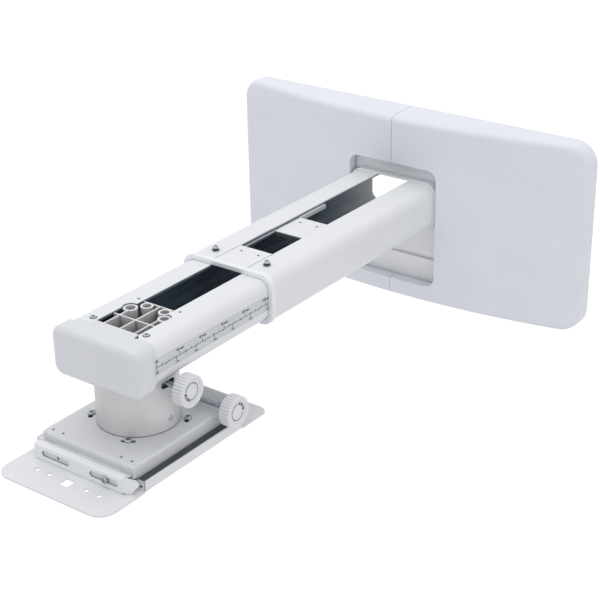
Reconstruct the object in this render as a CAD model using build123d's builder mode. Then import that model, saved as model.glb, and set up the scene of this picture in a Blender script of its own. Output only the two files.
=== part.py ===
from build123d import *
import os
from math import cos, degrees, radians, sin, sqrt

# Frame: X runs along the wall, Y into the wall, Z up, in millimetres.
# The origin lies on the wall, in line with the centre of the wall cover.

# Wall cover, two moulded halves with a bowed front
cover_width = 435.0
cover_height = 205.0
cover_centre_depth = 42.0
cover_end_depth = 16.0
cover_wall = 2.8
cover_corner = 24.0
cover_edge = 7.0
cover_seam = 0.5
window_side_gap = 2.5
window_head = 4.7
window_foot = 19.95
window_corner = 11.0
window_lip = 12.0
window_round = 1.0
post_radius = 5.0
peg_radius = 3.0
post_inset_x = 40.0
post_inset_z = 17.0

# Wall plate, folded so that its middle stands off the wall
plate_sheet = 2.5
plate_bend = 4.5
plate_end_margin = 27.5
plate_top_margin = 9.5
web_margin = 6.0
web_stand = 25.5
wall_slot_x = 300.0
wall_slot_z = 110.0
wall_slot_width = 8.5
wall_slot_length = 22.0
opening_clear = 1.5
opening_drop = 42.5

# Carriage that carries the arm up and down the wall plate
carriage_sheet = 2.5
carriage_overlap = 14.5
carriage_rise = 28.5
carriage_drop = 37.6
sleeve_wall = 1.7
sleeve_length = 11.0
clamp_overlap = 3.9
lift_up = 12.0
lift_down = 35.0
carriage_bolt_radius = 3.0
carriage_bolt_head = 4.3
carriage_head_height = 1.8
carriage_nut_radius = 5.2
carriage_nut_height = 5.0
carriage_bolt_inset = 6.0
carriage_bolt_low = 49.2
carriage_bolt_high = 16.5

# Arm height, and how far the arm is drawn out
arm_height = 9.2
arm_rear_gap = 3.0
extension = 131.0

# Outer arm, a formed channel with a slot along its top
outer_width = 104.0
outer_depth = 48.5
outer_corner = 12.0
outer_wall = 2.5
outer_slot = 39.2
outer_length = 315.0

# Collar round the mouth of the outer arm
collar_length = 6.0
collar_proud = 1.3
collar_lip = 2.0
collar_round = 1.2

# Inner arm, a smaller channel that slides in the outer one
arm_side_gap = 1.0
arm_depth_gap = 1.15
arm_corner_step = 2.0
inner_wall = 2.5
inner_slot = 37.0
inner_length = 337.0
head_overhang = 25.0
head_slot = 50.0
head_slot_rear = 22.0
slide_gap = 0.4

# Bridges across the two slots
near_bridge_length = 43.5
near_bridge_seam = 0.2
near_tongue = 5.8
near_tongue_height = 0.7
far_bridge_from_drum = 227.0
far_bridge_length = 41.5
far_bridge_proud = 0.8
far_bridge_side_gap = 0.6
far_tongue = 5.0
far_tongue_height = 1.2
bridge_hole_x = 20.2
bridge_hole_inset = 10.1
bridge_hole_radius = 1.5

# Plastic glides on the tail of the inner arm
glide_clip = 0.8
glide_clip_depth = 8.0
glide_clip_web = 1.2
side_pad_thickness = 0.7
side_pad_height = 20.0
floor_pad_width = 30.0
dimple_x = 24.3
dimple_from_drum = 34.9
dimple_depth = 0.8

# Screws that lock the arm, at the mouth of the outer arm
lock_screw_x = 61.6
lock_screw_inset = 20.0
lock_screw_stand = 2.6
lock_screw_washer = 0.8
lock_screw_tip = 0.9

# Length scale on the side of the inner arm
label_thickness = 0.25
label_height = 15.2
label_tail = 5.1
label_rise = 8.6
label_inset = 0.8

# End cap of the inner arm
cap_length = 26.0
cap_round = 10.5
cap_wall = 2.5
cap_proud = 1.0
cap_drop = 6.0
cap_top_step = 0.2
cap_tongue = 6.0
cap_tab_width = 11.0
cap_tab_length = 16.0
cap_tab_thickness = 3.0
cap_screw_inset = 8.6
cap_screw_x = 62.0
cap_screw_short = 0.5
cap_clearance = 4.5

# Divided insert in the front opening of the arm
insert_wall = 1.5
insert_half_width = 18.5
insert_rear = 36.0
insert_rib_y = 2.9
insert_rib_x = 1.0
insert_step = 1.3
insert_floor = 1.5
insert_tab_gap = 0.5
boss_notch_gap = 0.5
boss_bore_depth = 22.0
boss_rear_left = (-19.8, 18.8, 6.8, 4.6)
boss_back_left = (-10.2, 30.0, 6.0, 4.1)
boss_back_right = (11.6, 29.2, 6.2, 4.1)
boss_rear_right = (20.0, 18.9, 6.2, 4.1)

# Tilt yoke hung under the inner arm, inside the drum
yoke_plate = 3.0
yoke_ear = 3.0
yoke_span = 62.0
yoke_half_length = 8.0
yoke_foot = 6.0
yoke_pad_x = 40.0
yoke_pad_y = 34.0
yoke_screw_x = 28.0
yoke_screw_y = 24.0
ear_taper = 10.5

# Drum, a cast cup that tilts on a cross pin
drum_radius = 38.0
drum_wall = 4.0
drum_floor = 4.0
drum_height = 51.0
drum_rim_round = 1.0
tilt_gap = 4.1
pin_height = 11.0
pin_radius = 3.0
pin_proud = 0.4
drum_slot_drop = 5.8
drum_slot_length = 17.4
drum_slot_height = 6.6
spigot_radius = 18.0
running_gap = 0.05
face_gap = 0.1

# Knobs and their threaded rods
knob_radius = 15.0
knob_thickness = 11.5
knob_rim = 1.6
knob_dish = 1.2
knob_round = 1.0
knob_flutes = 19
knob_flute_radius = 1.7
rod_radius = 2.5
tilt_knob_front = 65.4
tilt_rod_start = 20.0

# Tray under the drum
tray_sheet = 1.5
tray_bend = 2.2
tray_half_width = 54.5
tray_front = 66.5
tray_rear = 64.0
tray_side = 11.9
tray_foot = 6.5
tray_foot_drop = 5.0
tray_nose = 68.0
tray_nose_bend = 3.0
tray_step_drop = 8.2
tray_lip_half = 38.0
tray_lip_end = 19.5
tray_rear_flange = 8.0
tray_rear_face = 66.0
tray_corner_relief = 0.8
tray_hole_radius = 1.5
tray_hole_y = 61.0
tray_hole_x = (34.5, 46.6)
yaw_screw_circle = 44.0
yaw_screw_angle = 29.5
yaw_slot_half = 7.0
yaw_slot_width = 4.4
yaw_ring_radius = 49.0
yaw_ring_thickness = 3.0
ring_bolt_head = 5.0
ring_bolt_height = 4.0
rear_screw_x = 45.0
rear_screw_y = 57.0

# Side adjuster on the tray
adjuster_y = 47.0
adjuster_rise = 6.5
adjuster_knob_front = 76.5
adjuster_rod_start = 16.0
bracket_x = 8.0
bracket_length = 15.0
bracket_width = 14.0
bracket_sheet = 2.0
bracket_bend = 2.6
bracket_ear_height = 12.0

# Projector plate with turned-up sides, and the glides inside them
base_sheet = 1.5
base_bend = 2.2
strip_width = 8.0
base_front = 118.5
base_rear = 105.0
base_front_corner = 16.0
base_rear_corner = 10.0
rail_height = 9.3
rail_front = 65.0
rail_rear = 64.5
rail_relief = 1.5
strip_gap = 1.0
strip_overrun = 0.8
strip_corner = 1.2
groove_gap_high = 0.1
groove_gap_low = 0.5
groove_gap_end = 0.4
base_hole_y = 93.0
base_hole_x = (22.1, 36.8)
base_hole_radius = 2.5
square_hole = 10.3
square_hole_y = 94.0

# Slotted lock bar across the front of the tray
bar_sheet = 1.2
bar_bend = 2.0
bar_half_width = 52.4
bar_face = 80.0
bar_top_drop = 6.1
bar_flange = 6.5
bar_floor_gap = 0.3
bar_slot_left = 27.0
bar_slot_right = 30.3
bar_slot_length = 32.5
bar_slot_height = 5.4
bar_slot_drop = 13.6
bar_screw_x = 32.0
bar_thread_x = 25.0
wing_angle = 35.0
wing_start = 0.4
wing_peak = (2.3, 0.8)
wing_top = (11.6, 1.7)
wing_tip = (14.3, 6.0)
wing_low = 7.0
wing_notch = 1.3
bar_relief = 0.8

# Small screws, used in several places
small_head_radius = 2.8
small_head_height = 1.4
small_shank = 1.5
pan_head_radius = 3.6
pan_head_height = 2.2
pan_shank = 1.9
bar_screw_length = 5.0

# Places and levels worked out from the sizes above
mouth_y = -(arm_rear_gap + outer_length)
head_y = mouth_y - extension
outer_top = arm_height + outer_depth / 2
outer_bottom = arm_height - outer_depth / 2
outer_under = outer_top - outer_wall
inner_width = outer_width - 2 * (outer_wall + arm_side_gap)
inner_depth = outer_depth - 2 * (outer_wall + arm_depth_gap)
inner_corner = outer_corner - arm_corner_step
inner_top = arm_height + inner_depth / 2
inner_bottom = arm_height - inner_depth / 2
inner_under = inner_top - inner_wall
inner_front_y = head_y - head_overhang
inner_rear_y = inner_front_y + inner_length
drum_top = inner_bottom - tilt_gap
drum_bottom = drum_top - drum_height
pin_z = drum_bottom + pin_height
slot_z = drum_top - drum_slot_drop
tray_top = drum_bottom
base_half_width = tray_half_width + strip_gap + strip_width + base_sheet
strip_top = tray_top - tray_side
side_foot = strip_top - tray_foot_drop
base_top = strip_top - rail_height
base_bottom = base_top - base_sheet
bow_sag = cover_centre_depth - cover_end_depth
bow_radius = ((cover_width / 2) ** 2 + bow_sag**2) / (2 * bow_sag)
plate_width = cover_width - 2 * plate_end_margin
plate_height = cover_height - 2 * plate_top_margin
plate_half = plate_width / 2
post_x = plate_half - post_inset_x
post_z = plate_height / 2 - post_inset_z
window_width = outer_width + 2 * window_side_gap
window_high = outer_top + lift_up + window_head
window_low = window_foot - cover_height / 2
window_height = window_high - window_low
window_middle = (window_high + window_low) / 2
carriage_half_width = window_width / 2 + carriage_overlap
web_half_width = carriage_half_width + web_margin
carriage_front = web_stand + carriage_sheet
clamp_front = web_stand - plate_sheet
clamp_back = clamp_front - carriage_sheet
opening_low = outer_bottom - opening_drop
opening_high = outer_top + lift_up + opening_clear
carriage_low = outer_bottom - carriage_drop
carriage_high = outer_top + carriage_rise
clamp_low = opening_low - clamp_overlap
bolt_x = carriage_half_width - carriage_bolt_inset
bolt_low_z = arm_height - carriage_bolt_low
bolt_high_z = outer_top + carriage_bolt_high
bolt_spots = [(x, z) for x in (-bolt_x, bolt_x) for z in (bolt_low_z, bolt_high_z)]
bar_top = tray_top - bar_top_drop
bar_bottom = base_top + bar_floor_gap
bar_slot_z = tray_top - bar_slot_drop
lip_face_y = head_y - bar_face + bar_sheet
step_z = tray_top - tray_step_drop


def depth_at(x):
    """Depth of the bowed front at a distance from the middle of the cover."""
    return cover_centre_depth - bow_radius + sqrt(bow_radius**2 - x**2)


def facing(y):
    """Plane that faces the room, with X to the right and Z up."""
    return Plane.XZ.offset(-y)


def bent_sheet(plane, points, radii, thickness, side):
    """Section of a folded sheet, drawn along one of its faces."""
    with BuildSketch(plane) as section:
        with BuildLine():
            FilletPolyline(*points, radius=radii)
            offset(amount=thickness, side=side)
        make_face()
    return section.sketch


def channel(plane, width, depth, corner, wall, slot):
    """Section of a square tube with rounded corners and a slot in its top."""
    with BuildSketch(plane) as section:
        with Locations((0, arm_height)):
            RectangleRounded(width, depth, corner)
            RectangleRounded(width - 2 * wall, depth - 2 * wall, corner - wall, mode=Mode.SUBTRACT)
        with Locations((0, arm_height + depth / 2)):
            Rectangle(slot, 2.2 * wall, mode=Mode.SUBTRACT)
    return section.sketch


def cross_screw(head_radius, head_height, shank_radius, shank_length):
    """Pan-head screw along Z, its seat at zero, with a cross recess."""
    with BuildPart() as screw:
        Cylinder(head_radius, head_height, align=(Align.CENTER, Align.CENTER, Align.MIN))
        chamfer(screw.edges().sort_by(Axis.Z)[-1], 0.4 * head_height)
        with Locations((0, 0, head_height)):
            Box(1.1 * head_radius, 0.22 * head_radius, head_height, mode=Mode.SUBTRACT)
            Box(0.22 * head_radius, 1.1 * head_radius, head_height, mode=Mode.SUBTRACT)
        Cylinder(shank_radius, shank_length, align=(Align.CENTER, Align.CENTER, Align.MAX))
    return screw.part


def fluted_knob():
    """Knob along Z, its back face at zero, its dished front on top and a bore."""
    with BuildPart() as knob:
        Cylinder(knob_radius, knob_thickness, align=(Align.CENTER, Align.CENTER, Align.MIN))
        chamfer(knob.edges().filter_by(GeomType.CIRCLE), knob_round)
        with BuildSketch(Plane.XY.offset(knob_thickness)):
            Circle(knob_radius - knob_rim - knob_flute_radius)
        extrude(amount=-knob_dish, mode=Mode.SUBTRACT)
        with BuildSketch(Plane.XY.offset(-1)):
            with PolarLocations(knob_radius + 0.45 * knob_flute_radius, knob_flutes):
                Circle(knob_flute_radius)
        extrude(amount=knob_thickness + 2, mode=Mode.SUBTRACT)
        with BuildSketch(Plane.XY):
            Circle(rod_radius)
        extrude(amount=knob_thickness / 2, mode=Mode.SUBTRACT)
    return knob.part


def bowed_block(inset):
    """Solid form of the cover, drawn in by a wall on every outer face."""
    half = cover_width / 2 - inset
    with BuildPart() as block:
        with BuildSketch(Plane.XY):
            with BuildLine():
                Polyline(
                    (-half, inset - cover_end_depth),
                    (-half, 0),
                    (half, 0),
                    (half, inset - cover_end_depth),
                )
                ThreePointArc(
                    (-half, inset - cover_end_depth),
                    (0, inset - cover_centre_depth),
                    (half, inset - cover_end_depth),
                )
            make_face()
        extrude(amount=cover_height / 2 - inset, both=True)
        fillet(block.edges().filter_by(Axis.Y), cover_corner - inset)
        fillet(block.faces().sort_by(Axis.Y)[0].edges(), cover_edge - inset)
    return block.part


def glide_strip(side):
    """Grooved strip on one side, a little longer than the side it sits in."""
    inner_x = tray_half_width + strip_gap
    outer_x = base_half_width - base_sheet
    with BuildPart() as strip:
        with BuildSketch(facing(head_y + rail_rear + strip_overrun)) as outline:
            with Locations((side * (inner_x + outer_x) / 2, (base_top + strip_top) / 2)):
                Rectangle(outer_x - inner_x, rail_height)
            fillet(outline.vertices(), strip_corner)
            with Locations((side * inner_x, side_foot + groove_gap_high)):
                Rectangle(
                    2 * (tray_foot - strip_gap + groove_gap_end),
                    tray_sheet + groove_gap_high + groove_gap_low,
                    align=(Align.CENTER, Align.MAX),
                    mode=Mode.SUBTRACT,
                )
        extrude(amount=rail_front + rail_rear + 2 * strip_overrun)
    return strip.part


# Forms that are used by more than one piece
cover_outside = bowed_block(0)
cover_inside = bowed_block(cover_wall)
knob_form = fluted_knob()
small_screw = cross_screw(
    small_head_radius, small_head_height, small_shank, inner_wall + cap_tab_thickness - cap_screw_short
)

# Wall cover, with a lip that runs back round its window and four pegged posts
with BuildPart() as cover:
    add(cover_outside)
    add(cover_inside, mode=Mode.SUBTRACT)
    with BuildSketch(facing(window_lip - cover_centre_depth)):
        with Locations((0, window_middle)):
            RectangleRounded(
                window_width + 2 * cover_wall, window_height + 2 * cover_wall, window_corner + cover_wall
            )
    extrude(amount=window_lip - cover_centre_depth + depth_at(window_width / 2 + cover_wall) - 0.3)
    with BuildSketch(facing(0)):
        with Locations((0, window_middle)):
            RectangleRounded(window_width, window_height, window_corner)
    extrude(amount=cover_centre_depth + 1, mode=Mode.SUBTRACT)
    bowed_front = cover.faces().sort_by(Axis.Y)[0]
    fillet(bowed_front.inner_wires()[0].edges(), window_round)
    with BuildSketch(facing(-plate_sheet)):
        with GridLocations(2 * post_x, 2 * post_z, 2, 2):
            Circle(post_radius)
    extrude(amount=depth_at(post_x) - cover_wall / 2 - plate_sheet)
    with BuildSketch(facing(-plate_sheet / 4)):
        with GridLocations(2 * post_x, 2 * post_z, 2, 2):
            Circle(peg_radius)
    extrude(amount=plate_sheet)

with BuildPart() as cover_left:
    add(cover.part)
    split(bisect_by=Plane.YZ.offset(-cover_seam / 2), keep=Keep.BOTTOM)

with BuildPart() as cover_right:
    add(cover.part)
    split(bisect_by=Plane.YZ.offset(cover_seam / 2), keep=Keep.TOP)

# Wall plate, with slots for the wall screws and for the carriage bolts
plate_section = bent_sheet(
    Plane.XY,
    [
        (-plate_half, -plate_sheet),
        (-web_half_width, -plate_sheet),
        (-web_half_width, -web_stand),
        (web_half_width, -web_stand),
        (web_half_width, -plate_sheet),
        (plate_half, -plate_sheet),
    ],
    [plate_bend - plate_sheet, plate_bend, plate_bend, plate_bend - plate_sheet],
    plate_sheet,
    Side.LEFT,
)
lift_middle = (lift_up - lift_down) / 2
with BuildPart() as wall_plate:
    extrude(plate_section, amount=plate_height / 2, both=True)
    with BuildSketch(facing(0)):
        with GridLocations(wall_slot_x, wall_slot_z, 2, 2):
            SlotOverall(wall_slot_length, wall_slot_width)
        with GridLocations(2 * post_x, 2 * post_z, 2, 2):
            Circle(peg_radius + running_gap)
        with Locations((0, (opening_low + opening_high) / 2)):
            RectangleRounded(outer_width + 2 * opening_clear, opening_high - opening_low, plate_sheet)
        for spot_x, spot_z in bolt_spots:
            with Locations((spot_x, spot_z + lift_middle)):
                SlotOverall(
                    lift_up + lift_down + 2 * carriage_bolt_radius + 1,
                    2 * carriage_bolt_radius + 0.8,
                    rotation=90,
                )
    extrude(amount=web_stand + 1, mode=Mode.SUBTRACT)

# Carriage, a plate with a sleeve that the arm stands in
with BuildPart() as carriage:
    with BuildSketch(facing(-web_stand)):
        with Locations((0, (carriage_low + carriage_high) / 2)):
            RectangleRounded(2 * carriage_half_width, carriage_high - carriage_low, 4)
    extrude(amount=carriage_sheet)
    with BuildSketch(facing(-carriage_front)):
        with Locations((0, arm_height)):
            RectangleRounded(
                outer_width + 2 * sleeve_wall, outer_depth + 2 * sleeve_wall, outer_corner + sleeve_wall
            )
    extrude(amount=sleeve_length)
    chamfer(carriage.faces().sort_by(Axis.Y)[0].edges(), 0.35 * sleeve_wall)
    with BuildSketch(facing(0)):
        with Locations((0, arm_height)):
            RectangleRounded(outer_width + 2 * face_gap, outer_depth + 2 * face_gap, outer_corner + face_gap)
        with Locations(*bolt_spots):
            Circle(carriage_bolt_radius + face_gap)
    extrude(amount=carriage_front + sleeve_length + 1, mode=Mode.SUBTRACT)

with BuildPart() as carriage_clamp:
    with BuildSketch(facing(-clamp_back)):
        with Locations((0, (clamp_low + carriage_high) / 2)):
            RectangleRounded(2 * carriage_half_width - 2, carriage_high - clamp_low, 4)
        with Locations((0, arm_height)):
            RectangleRounded(
                outer_width + 2 * face_gap,
                outer_depth + 2 * face_gap,
                outer_corner + face_gap,
                mode=Mode.SUBTRACT,
            )
        with Locations(*bolt_spots):
            Circle(carriage_bolt_radius + face_gap, mode=Mode.SUBTRACT)
    extrude(amount=carriage_sheet)

with BuildPart() as carriage_bolts:
    with BuildSketch(facing(-carriage_front)):
        with Locations(*bolt_spots):
            Circle(carriage_bolt_head)
            RegularPolygon(0.5 * carriage_bolt_head, 6, mode=Mode.SUBTRACT)
    extrude(amount=carriage_head_height)
    with BuildSketch(facing(carriage_nut_height + 1 - clamp_back)):
        with Locations(*bolt_spots):
            Circle(carriage_bolt_radius)
    extrude(amount=carriage_front + carriage_head_height / 2 - clamp_back + carriage_nut_height + 1)

with BuildPart() as carriage_nuts:
    with BuildSketch(facing(carriage_nut_height - clamp_back)):
        with Locations(*bolt_spots):
            RegularPolygon(carriage_nut_radius, 6)
            Circle(carriage_bolt_radius + running_gap, mode=Mode.SUBTRACT)
    extrude(amount=carriage_nut_height)

# Outer arm
outer_section = channel(
    facing(-arm_rear_gap), outer_width, outer_depth, outer_corner, outer_wall, outer_slot
)
lock_screw_spots = [
    (-lock_screw_x / 2, mouth_y + lock_screw_inset),
    (lock_screw_x / 2, mouth_y + lock_screw_inset),
]
with BuildPart() as outer_arm:
    extrude(outer_section, amount=outer_length)
    with BuildSketch(Plane.XY.offset(outer_top + 1)):
        with Locations(*lock_screw_spots):
            Circle(small_shank + face_gap)
    extrude(amount=-(outer_wall + 2), mode=Mode.SUBTRACT)

# Collar, a closed ring that covers the cut edge of the outer arm
with BuildPart() as arm_collar:
    with BuildSketch(facing(mouth_y - collar_lip + collar_length)):
        with Locations((0, arm_height)):
            RectangleRounded(
                outer_width + 2 * collar_proud, outer_depth + 2 * collar_proud, outer_corner + collar_proud
            )
    extrude(amount=collar_length)
    fillet(arm_collar.faces().sort_by(Axis.Y)[0].edges(), collar_round)
    chamfer(arm_collar.faces().sort_by(Axis.Y)[-1].edges(), collar_proud / 2)
    with BuildSketch(facing(mouth_y - collar_lip + collar_length)):
        with Locations((0, arm_height)):
            RectangleRounded(outer_width, outer_depth, outer_corner)
    extrude(amount=collar_length - collar_lip, mode=Mode.SUBTRACT)
    with BuildSketch(facing(mouth_y)):
        with Locations((0, arm_height)):
            RectangleRounded(
                inner_width + 2 * slide_gap, inner_depth + 2 * slide_gap, inner_corner + slide_gap
            )
    extrude(amount=collar_lip, mode=Mode.SUBTRACT)

# Near bridge, flush in the slot of the outer arm, with a tongue on each side
near_half = outer_slot / 2 - near_bridge_seam
near_tongue_x = inner_slot / 2 - far_bridge_side_gap / 2
near_hole_y = mouth_y + near_bridge_length - bridge_hole_inset
with BuildPart() as near_bridge:
    with BuildSketch(facing(mouth_y)):
        with Locations((0, outer_under)):
            Rectangle(2 * near_half, outer_wall, align=(Align.CENTER, Align.MIN))
        with Locations((-near_tongue_x, outer_under)):
            Rectangle(near_tongue, near_tongue_height, align=(Align.MAX, Align.MAX))
        with Locations((near_tongue_x, outer_under)):
            Rectangle(near_tongue, near_tongue_height, align=(Align.MIN, Align.MAX))
    extrude(amount=-near_bridge_length)
    with BuildSketch(Plane.XY.offset(outer_top + 1)):
        with Locations((-bridge_hole_x / 2, near_hole_y), (bridge_hole_x / 2, near_hole_y)):
            Circle(bridge_hole_radius)
    extrude(amount=-(outer_wall + 2), mode=Mode.SUBTRACT)

# Lock screws, standing above the outer arm on a washer
lock_screw = cross_screw(
    small_head_radius, 2.2, small_shank, lock_screw_stand + outer_wall + lock_screw_tip
)
with BuildPart() as lock_screws:
    for spot_x, spot_y in lock_screw_spots:
        with Locations((spot_x, spot_y, outer_top + lock_screw_stand)):
            add(lock_screw)
        with Locations((spot_x, spot_y, outer_top)):
            Cylinder(small_head_radius, lock_screw_washer, align=(Align.CENTER, Align.CENTER, Align.MIN))

# Inner arm, with a wider slot for the insert and notches for two of its bosses
inner_section = channel(
    facing(inner_rear_y), inner_width, inner_depth, inner_corner, inner_wall, inner_slot
)
cap_screw_spots = [
    (-cap_screw_x / 2, inner_front_y + cap_screw_inset),
    (cap_screw_x / 2, inner_front_y + cap_screw_inset),
]
with BuildPart() as inner_arm:
    extrude(inner_section, amount=inner_length)
    with BuildSketch(Plane.XY.offset(inner_top + 1)):
        with Locations((0, inner_front_y)):
            Rectangle(head_slot, head_overhang + head_slot_rear, align=(Align.CENTER, Align.MIN))
        for boss_x, boss_y, boss_r, bore_r in (boss_rear_left, boss_rear_right):
            with Locations((boss_x, head_y + boss_y)):
                Circle(boss_r + boss_notch_gap)
        with Locations(*cap_screw_spots):
            Circle(small_shank + face_gap)
    extrude(amount=-(inner_wall + 2), mode=Mode.SUBTRACT)
    with BuildSketch(Plane.XY.offset(inner_top)):
        with Locations((-dimple_x, head_y + dimple_from_drum), (dimple_x, head_y + dimple_from_drum)):
            Circle(bridge_hole_radius)
    extrude(amount=-dimple_depth, mode=Mode.SUBTRACT)
    with BuildSketch(Plane.XY.offset(inner_bottom - 1)):
        with Locations((0, head_y)):
            with GridLocations(yoke_screw_x, yoke_screw_y, 2, 2):
                Circle(small_shank + face_gap)
    extrude(amount=inner_wall + 2, mode=Mode.SUBTRACT)

# Far bridge, standing a little above the inner arm
far_front = head_y + far_bridge_from_drum
far_half = inner_slot / 2 - far_bridge_side_gap
far_hole_y = far_front + far_bridge_length - bridge_hole_inset
with BuildPart() as far_bridge:
    with BuildSketch(facing(far_front)):
        with Locations((0, inner_under - far_tongue_height)):
            Rectangle(
                2 * far_half,
                far_tongue_height + inner_wall + far_bridge_proud,
                align=(Align.CENTER, Align.MIN),
            )
        with Locations((0, inner_under)):
            Rectangle(inner_slot + 2 * far_tongue, far_tongue_height, align=(Align.CENTER, Align.MAX))
    extrude(amount=-far_bridge_length)
    with BuildSketch(Plane.XY.offset(inner_top + 2)):
        with Locations((-bridge_hole_x / 2, far_hole_y), (bridge_hole_x / 2, far_hole_y)):
            Circle(bridge_hole_radius)
    extrude(amount=-3 * inner_wall, mode=Mode.SUBTRACT)

# Glides: a clip on each edge of the slot, and pads on the sides and floor
clip_front = far_front + far_bridge_length + slide_gap
clip_length = inner_rear_y - clip_front
clip_x = inner_slot / 2 - glide_clip_web + glide_clip_depth / 2
flange_middle = inner_top - inner_wall / 2
with BuildPart() as arm_glides:
    with BuildSketch(facing(clip_front)):
        with Locations((-clip_x, flange_middle), (clip_x, flange_middle)):
            Rectangle(glide_clip_depth, inner_wall + 2 * glide_clip)
        with Locations((0, flange_middle)):
            Rectangle(inner_slot - 2 * glide_clip_web, 3 * inner_wall, mode=Mode.SUBTRACT)
        with Locations((-inner_slot / 2, flange_middle)):
            Rectangle(glide_clip_depth, inner_wall, align=(Align.MAX, Align.CENTER), mode=Mode.SUBTRACT)
        with Locations((inner_slot / 2, flange_middle)):
            Rectangle(glide_clip_depth, inner_wall, align=(Align.MIN, Align.CENTER), mode=Mode.SUBTRACT)
        with Locations((-inner_width / 2, arm_height)):
            Rectangle(side_pad_thickness, side_pad_height, align=(Align.MAX, Align.CENTER))
        with Locations((inner_width / 2, arm_height)):
            Rectangle(side_pad_thickness, side_pad_height, align=(Align.MIN, Align.CENTER))
        with Locations((0, inner_bottom)):
            Rectangle(floor_pad_width, side_pad_thickness, align=(Align.CENTER, Align.MAX))
    extrude(amount=-clip_length)

# Length scale, a thin strip on the right side of the inner arm
label_front = inner_front_y + label_inset
label_length = clip_front - label_tail - label_front
with BuildPart() as ruler_label:
    with BuildSketch(Plane.YZ.offset(inner_width / 2)):
        with Locations((label_front, label_rise)):
            Rectangle(label_length, label_height, align=(Align.MIN, Align.CENTER))
    extrude(amount=label_thickness)

# End cap, hollow, with a scallop that clears the drum as it tilts
cap_top = inner_top + cap_top_step
cap_bottom = inner_bottom - cap_drop
cap_middle = (cap_top + cap_bottom) / 2
cap_half = inner_width / 2 + cap_proud
tab_x = cap_screw_x / 2
with BuildPart() as end_cap:
    with BuildSketch(facing(inner_front_y)):
        with Locations((0, cap_middle)):
            RectangleRounded(2 * cap_half, cap_top - cap_bottom, cap_round)
    extrude(amount=cap_length)
    fillet(end_cap.faces().sort_by(Axis.Y)[0].edges(), 0.95 * cap_round)
    with BuildSketch(facing(inner_front_y)):
        with Locations((0, cap_middle)):
            RectangleRounded(
                2 * (cap_half - cap_wall), cap_top - cap_bottom - 2 * cap_wall, cap_round - cap_wall
            )
    extrude(amount=cap_length - cap_round, mode=Mode.SUBTRACT)
    with BuildSketch(Plane.XY.offset(cap_top)):
        with Locations((0, inner_front_y - cap_wall)):
            Rectangle(head_slot - 2 * insert_tab_gap, cap_tongue + cap_wall, align=(Align.CENTER, Align.MIN))
    extrude(amount=-cap_wall)
    with BuildSketch(Plane.XY.offset(inner_under)):
        with Locations((-tab_x, inner_front_y - cap_wall), (tab_x, inner_front_y - cap_wall)):
            Rectangle(cap_tab_width, cap_tab_length + cap_wall, align=(Align.CENTER, Align.MIN))
    extrude(amount=-cap_tab_thickness)
    with BuildSketch(Plane.XY.offset(cap_top - cap_wall / 2)):
        with Locations((-tab_x, inner_front_y), (tab_x, inner_front_y)):
            Rectangle(cap_tab_width, cap_wall, align=(Align.CENTER, Align.MAX))
    extrude(amount=-(cap_wall / 2 + cap_tab_thickness))
    with BuildSketch(Plane.XY.offset(inner_top)):
        with Locations(*cap_screw_spots):
            Circle(small_shank + face_gap)
    extrude(amount=-(inner_wall + cap_tab_thickness + 1), mode=Mode.SUBTRACT)
    with BuildSketch(Plane.XY.offset(cap_bottom - 1)):
        with Locations((0, head_y)):
            Circle(drum_radius + cap_clearance)
    extrude(amount=inner_bottom - cap_bottom + 1, mode=Mode.SUBTRACT)

with BuildPart() as cap_screws:
    for spot_x, spot_y in cap_screw_spots:
        with Locations((spot_x, spot_y, inner_top)):
            add(small_screw)

# Divided insert, with four hollow bosses and a thin floor
insert_base = inner_bottom + inner_wall
insert_top = inner_top - insert_step
insert_front = cap_tongue - head_overhang
insert_bosses = (boss_rear_left, boss_back_left, boss_back_right, boss_rear_right)
with BuildPart() as grid_insert:
    with BuildSketch(Plane.XY.offset(insert_base)):
        with Locations((0, head_y + insert_front)):
            Rectangle(2 * insert_half_width, insert_rear - insert_front, align=(Align.CENTER, Align.MIN))
        for boss_x, boss_y, boss_r, bore_r in insert_bosses:
            with Locations((boss_x, head_y + boss_y)):
                Circle(boss_r)
    extrude(amount=insert_floor)
    with BuildSketch(Plane.XY.offset(insert_base)):
        for side in (-1, 1):
            with Locations((side * (insert_half_width - insert_wall / 2), head_y + insert_front)):
                Rectangle(
                    insert_wall, boss_rear_right[1] - insert_front, align=(Align.CENTER, Align.MIN)
                )
        with Locations((0, head_y + insert_front)):
            Rectangle(2 * insert_half_width, insert_wall, align=(Align.CENTER, Align.MIN))
        with Locations((0, head_y + insert_rear)):
            Rectangle(2 * insert_half_width, insert_wall, align=(Align.CENTER, Align.MAX))
        with Locations((insert_rib_x, head_y + insert_front)):
            Rectangle(insert_wall, insert_rear - insert_front, align=(Align.CENTER, Align.MIN))
        with Locations((0, head_y + insert_rib_y)):
            Rectangle(head_slot - 2 * insert_tab_gap, insert_wall)
        for boss_x, boss_y, boss_r, bore_r in insert_bosses:
            with Locations((boss_x, head_y + boss_y)):
                Circle(boss_r)
    extrude(amount=insert_top - insert_base)
    with BuildSketch(Plane.XY.offset(insert_top)):
        for boss_x, boss_y, boss_r, bore_r in insert_bosses:
            with Locations((boss_x, head_y + boss_y)):
                Circle(bore_r)
    extrude(amount=-boss_bore_depth, mode=Mode.SUBTRACT)

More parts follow.
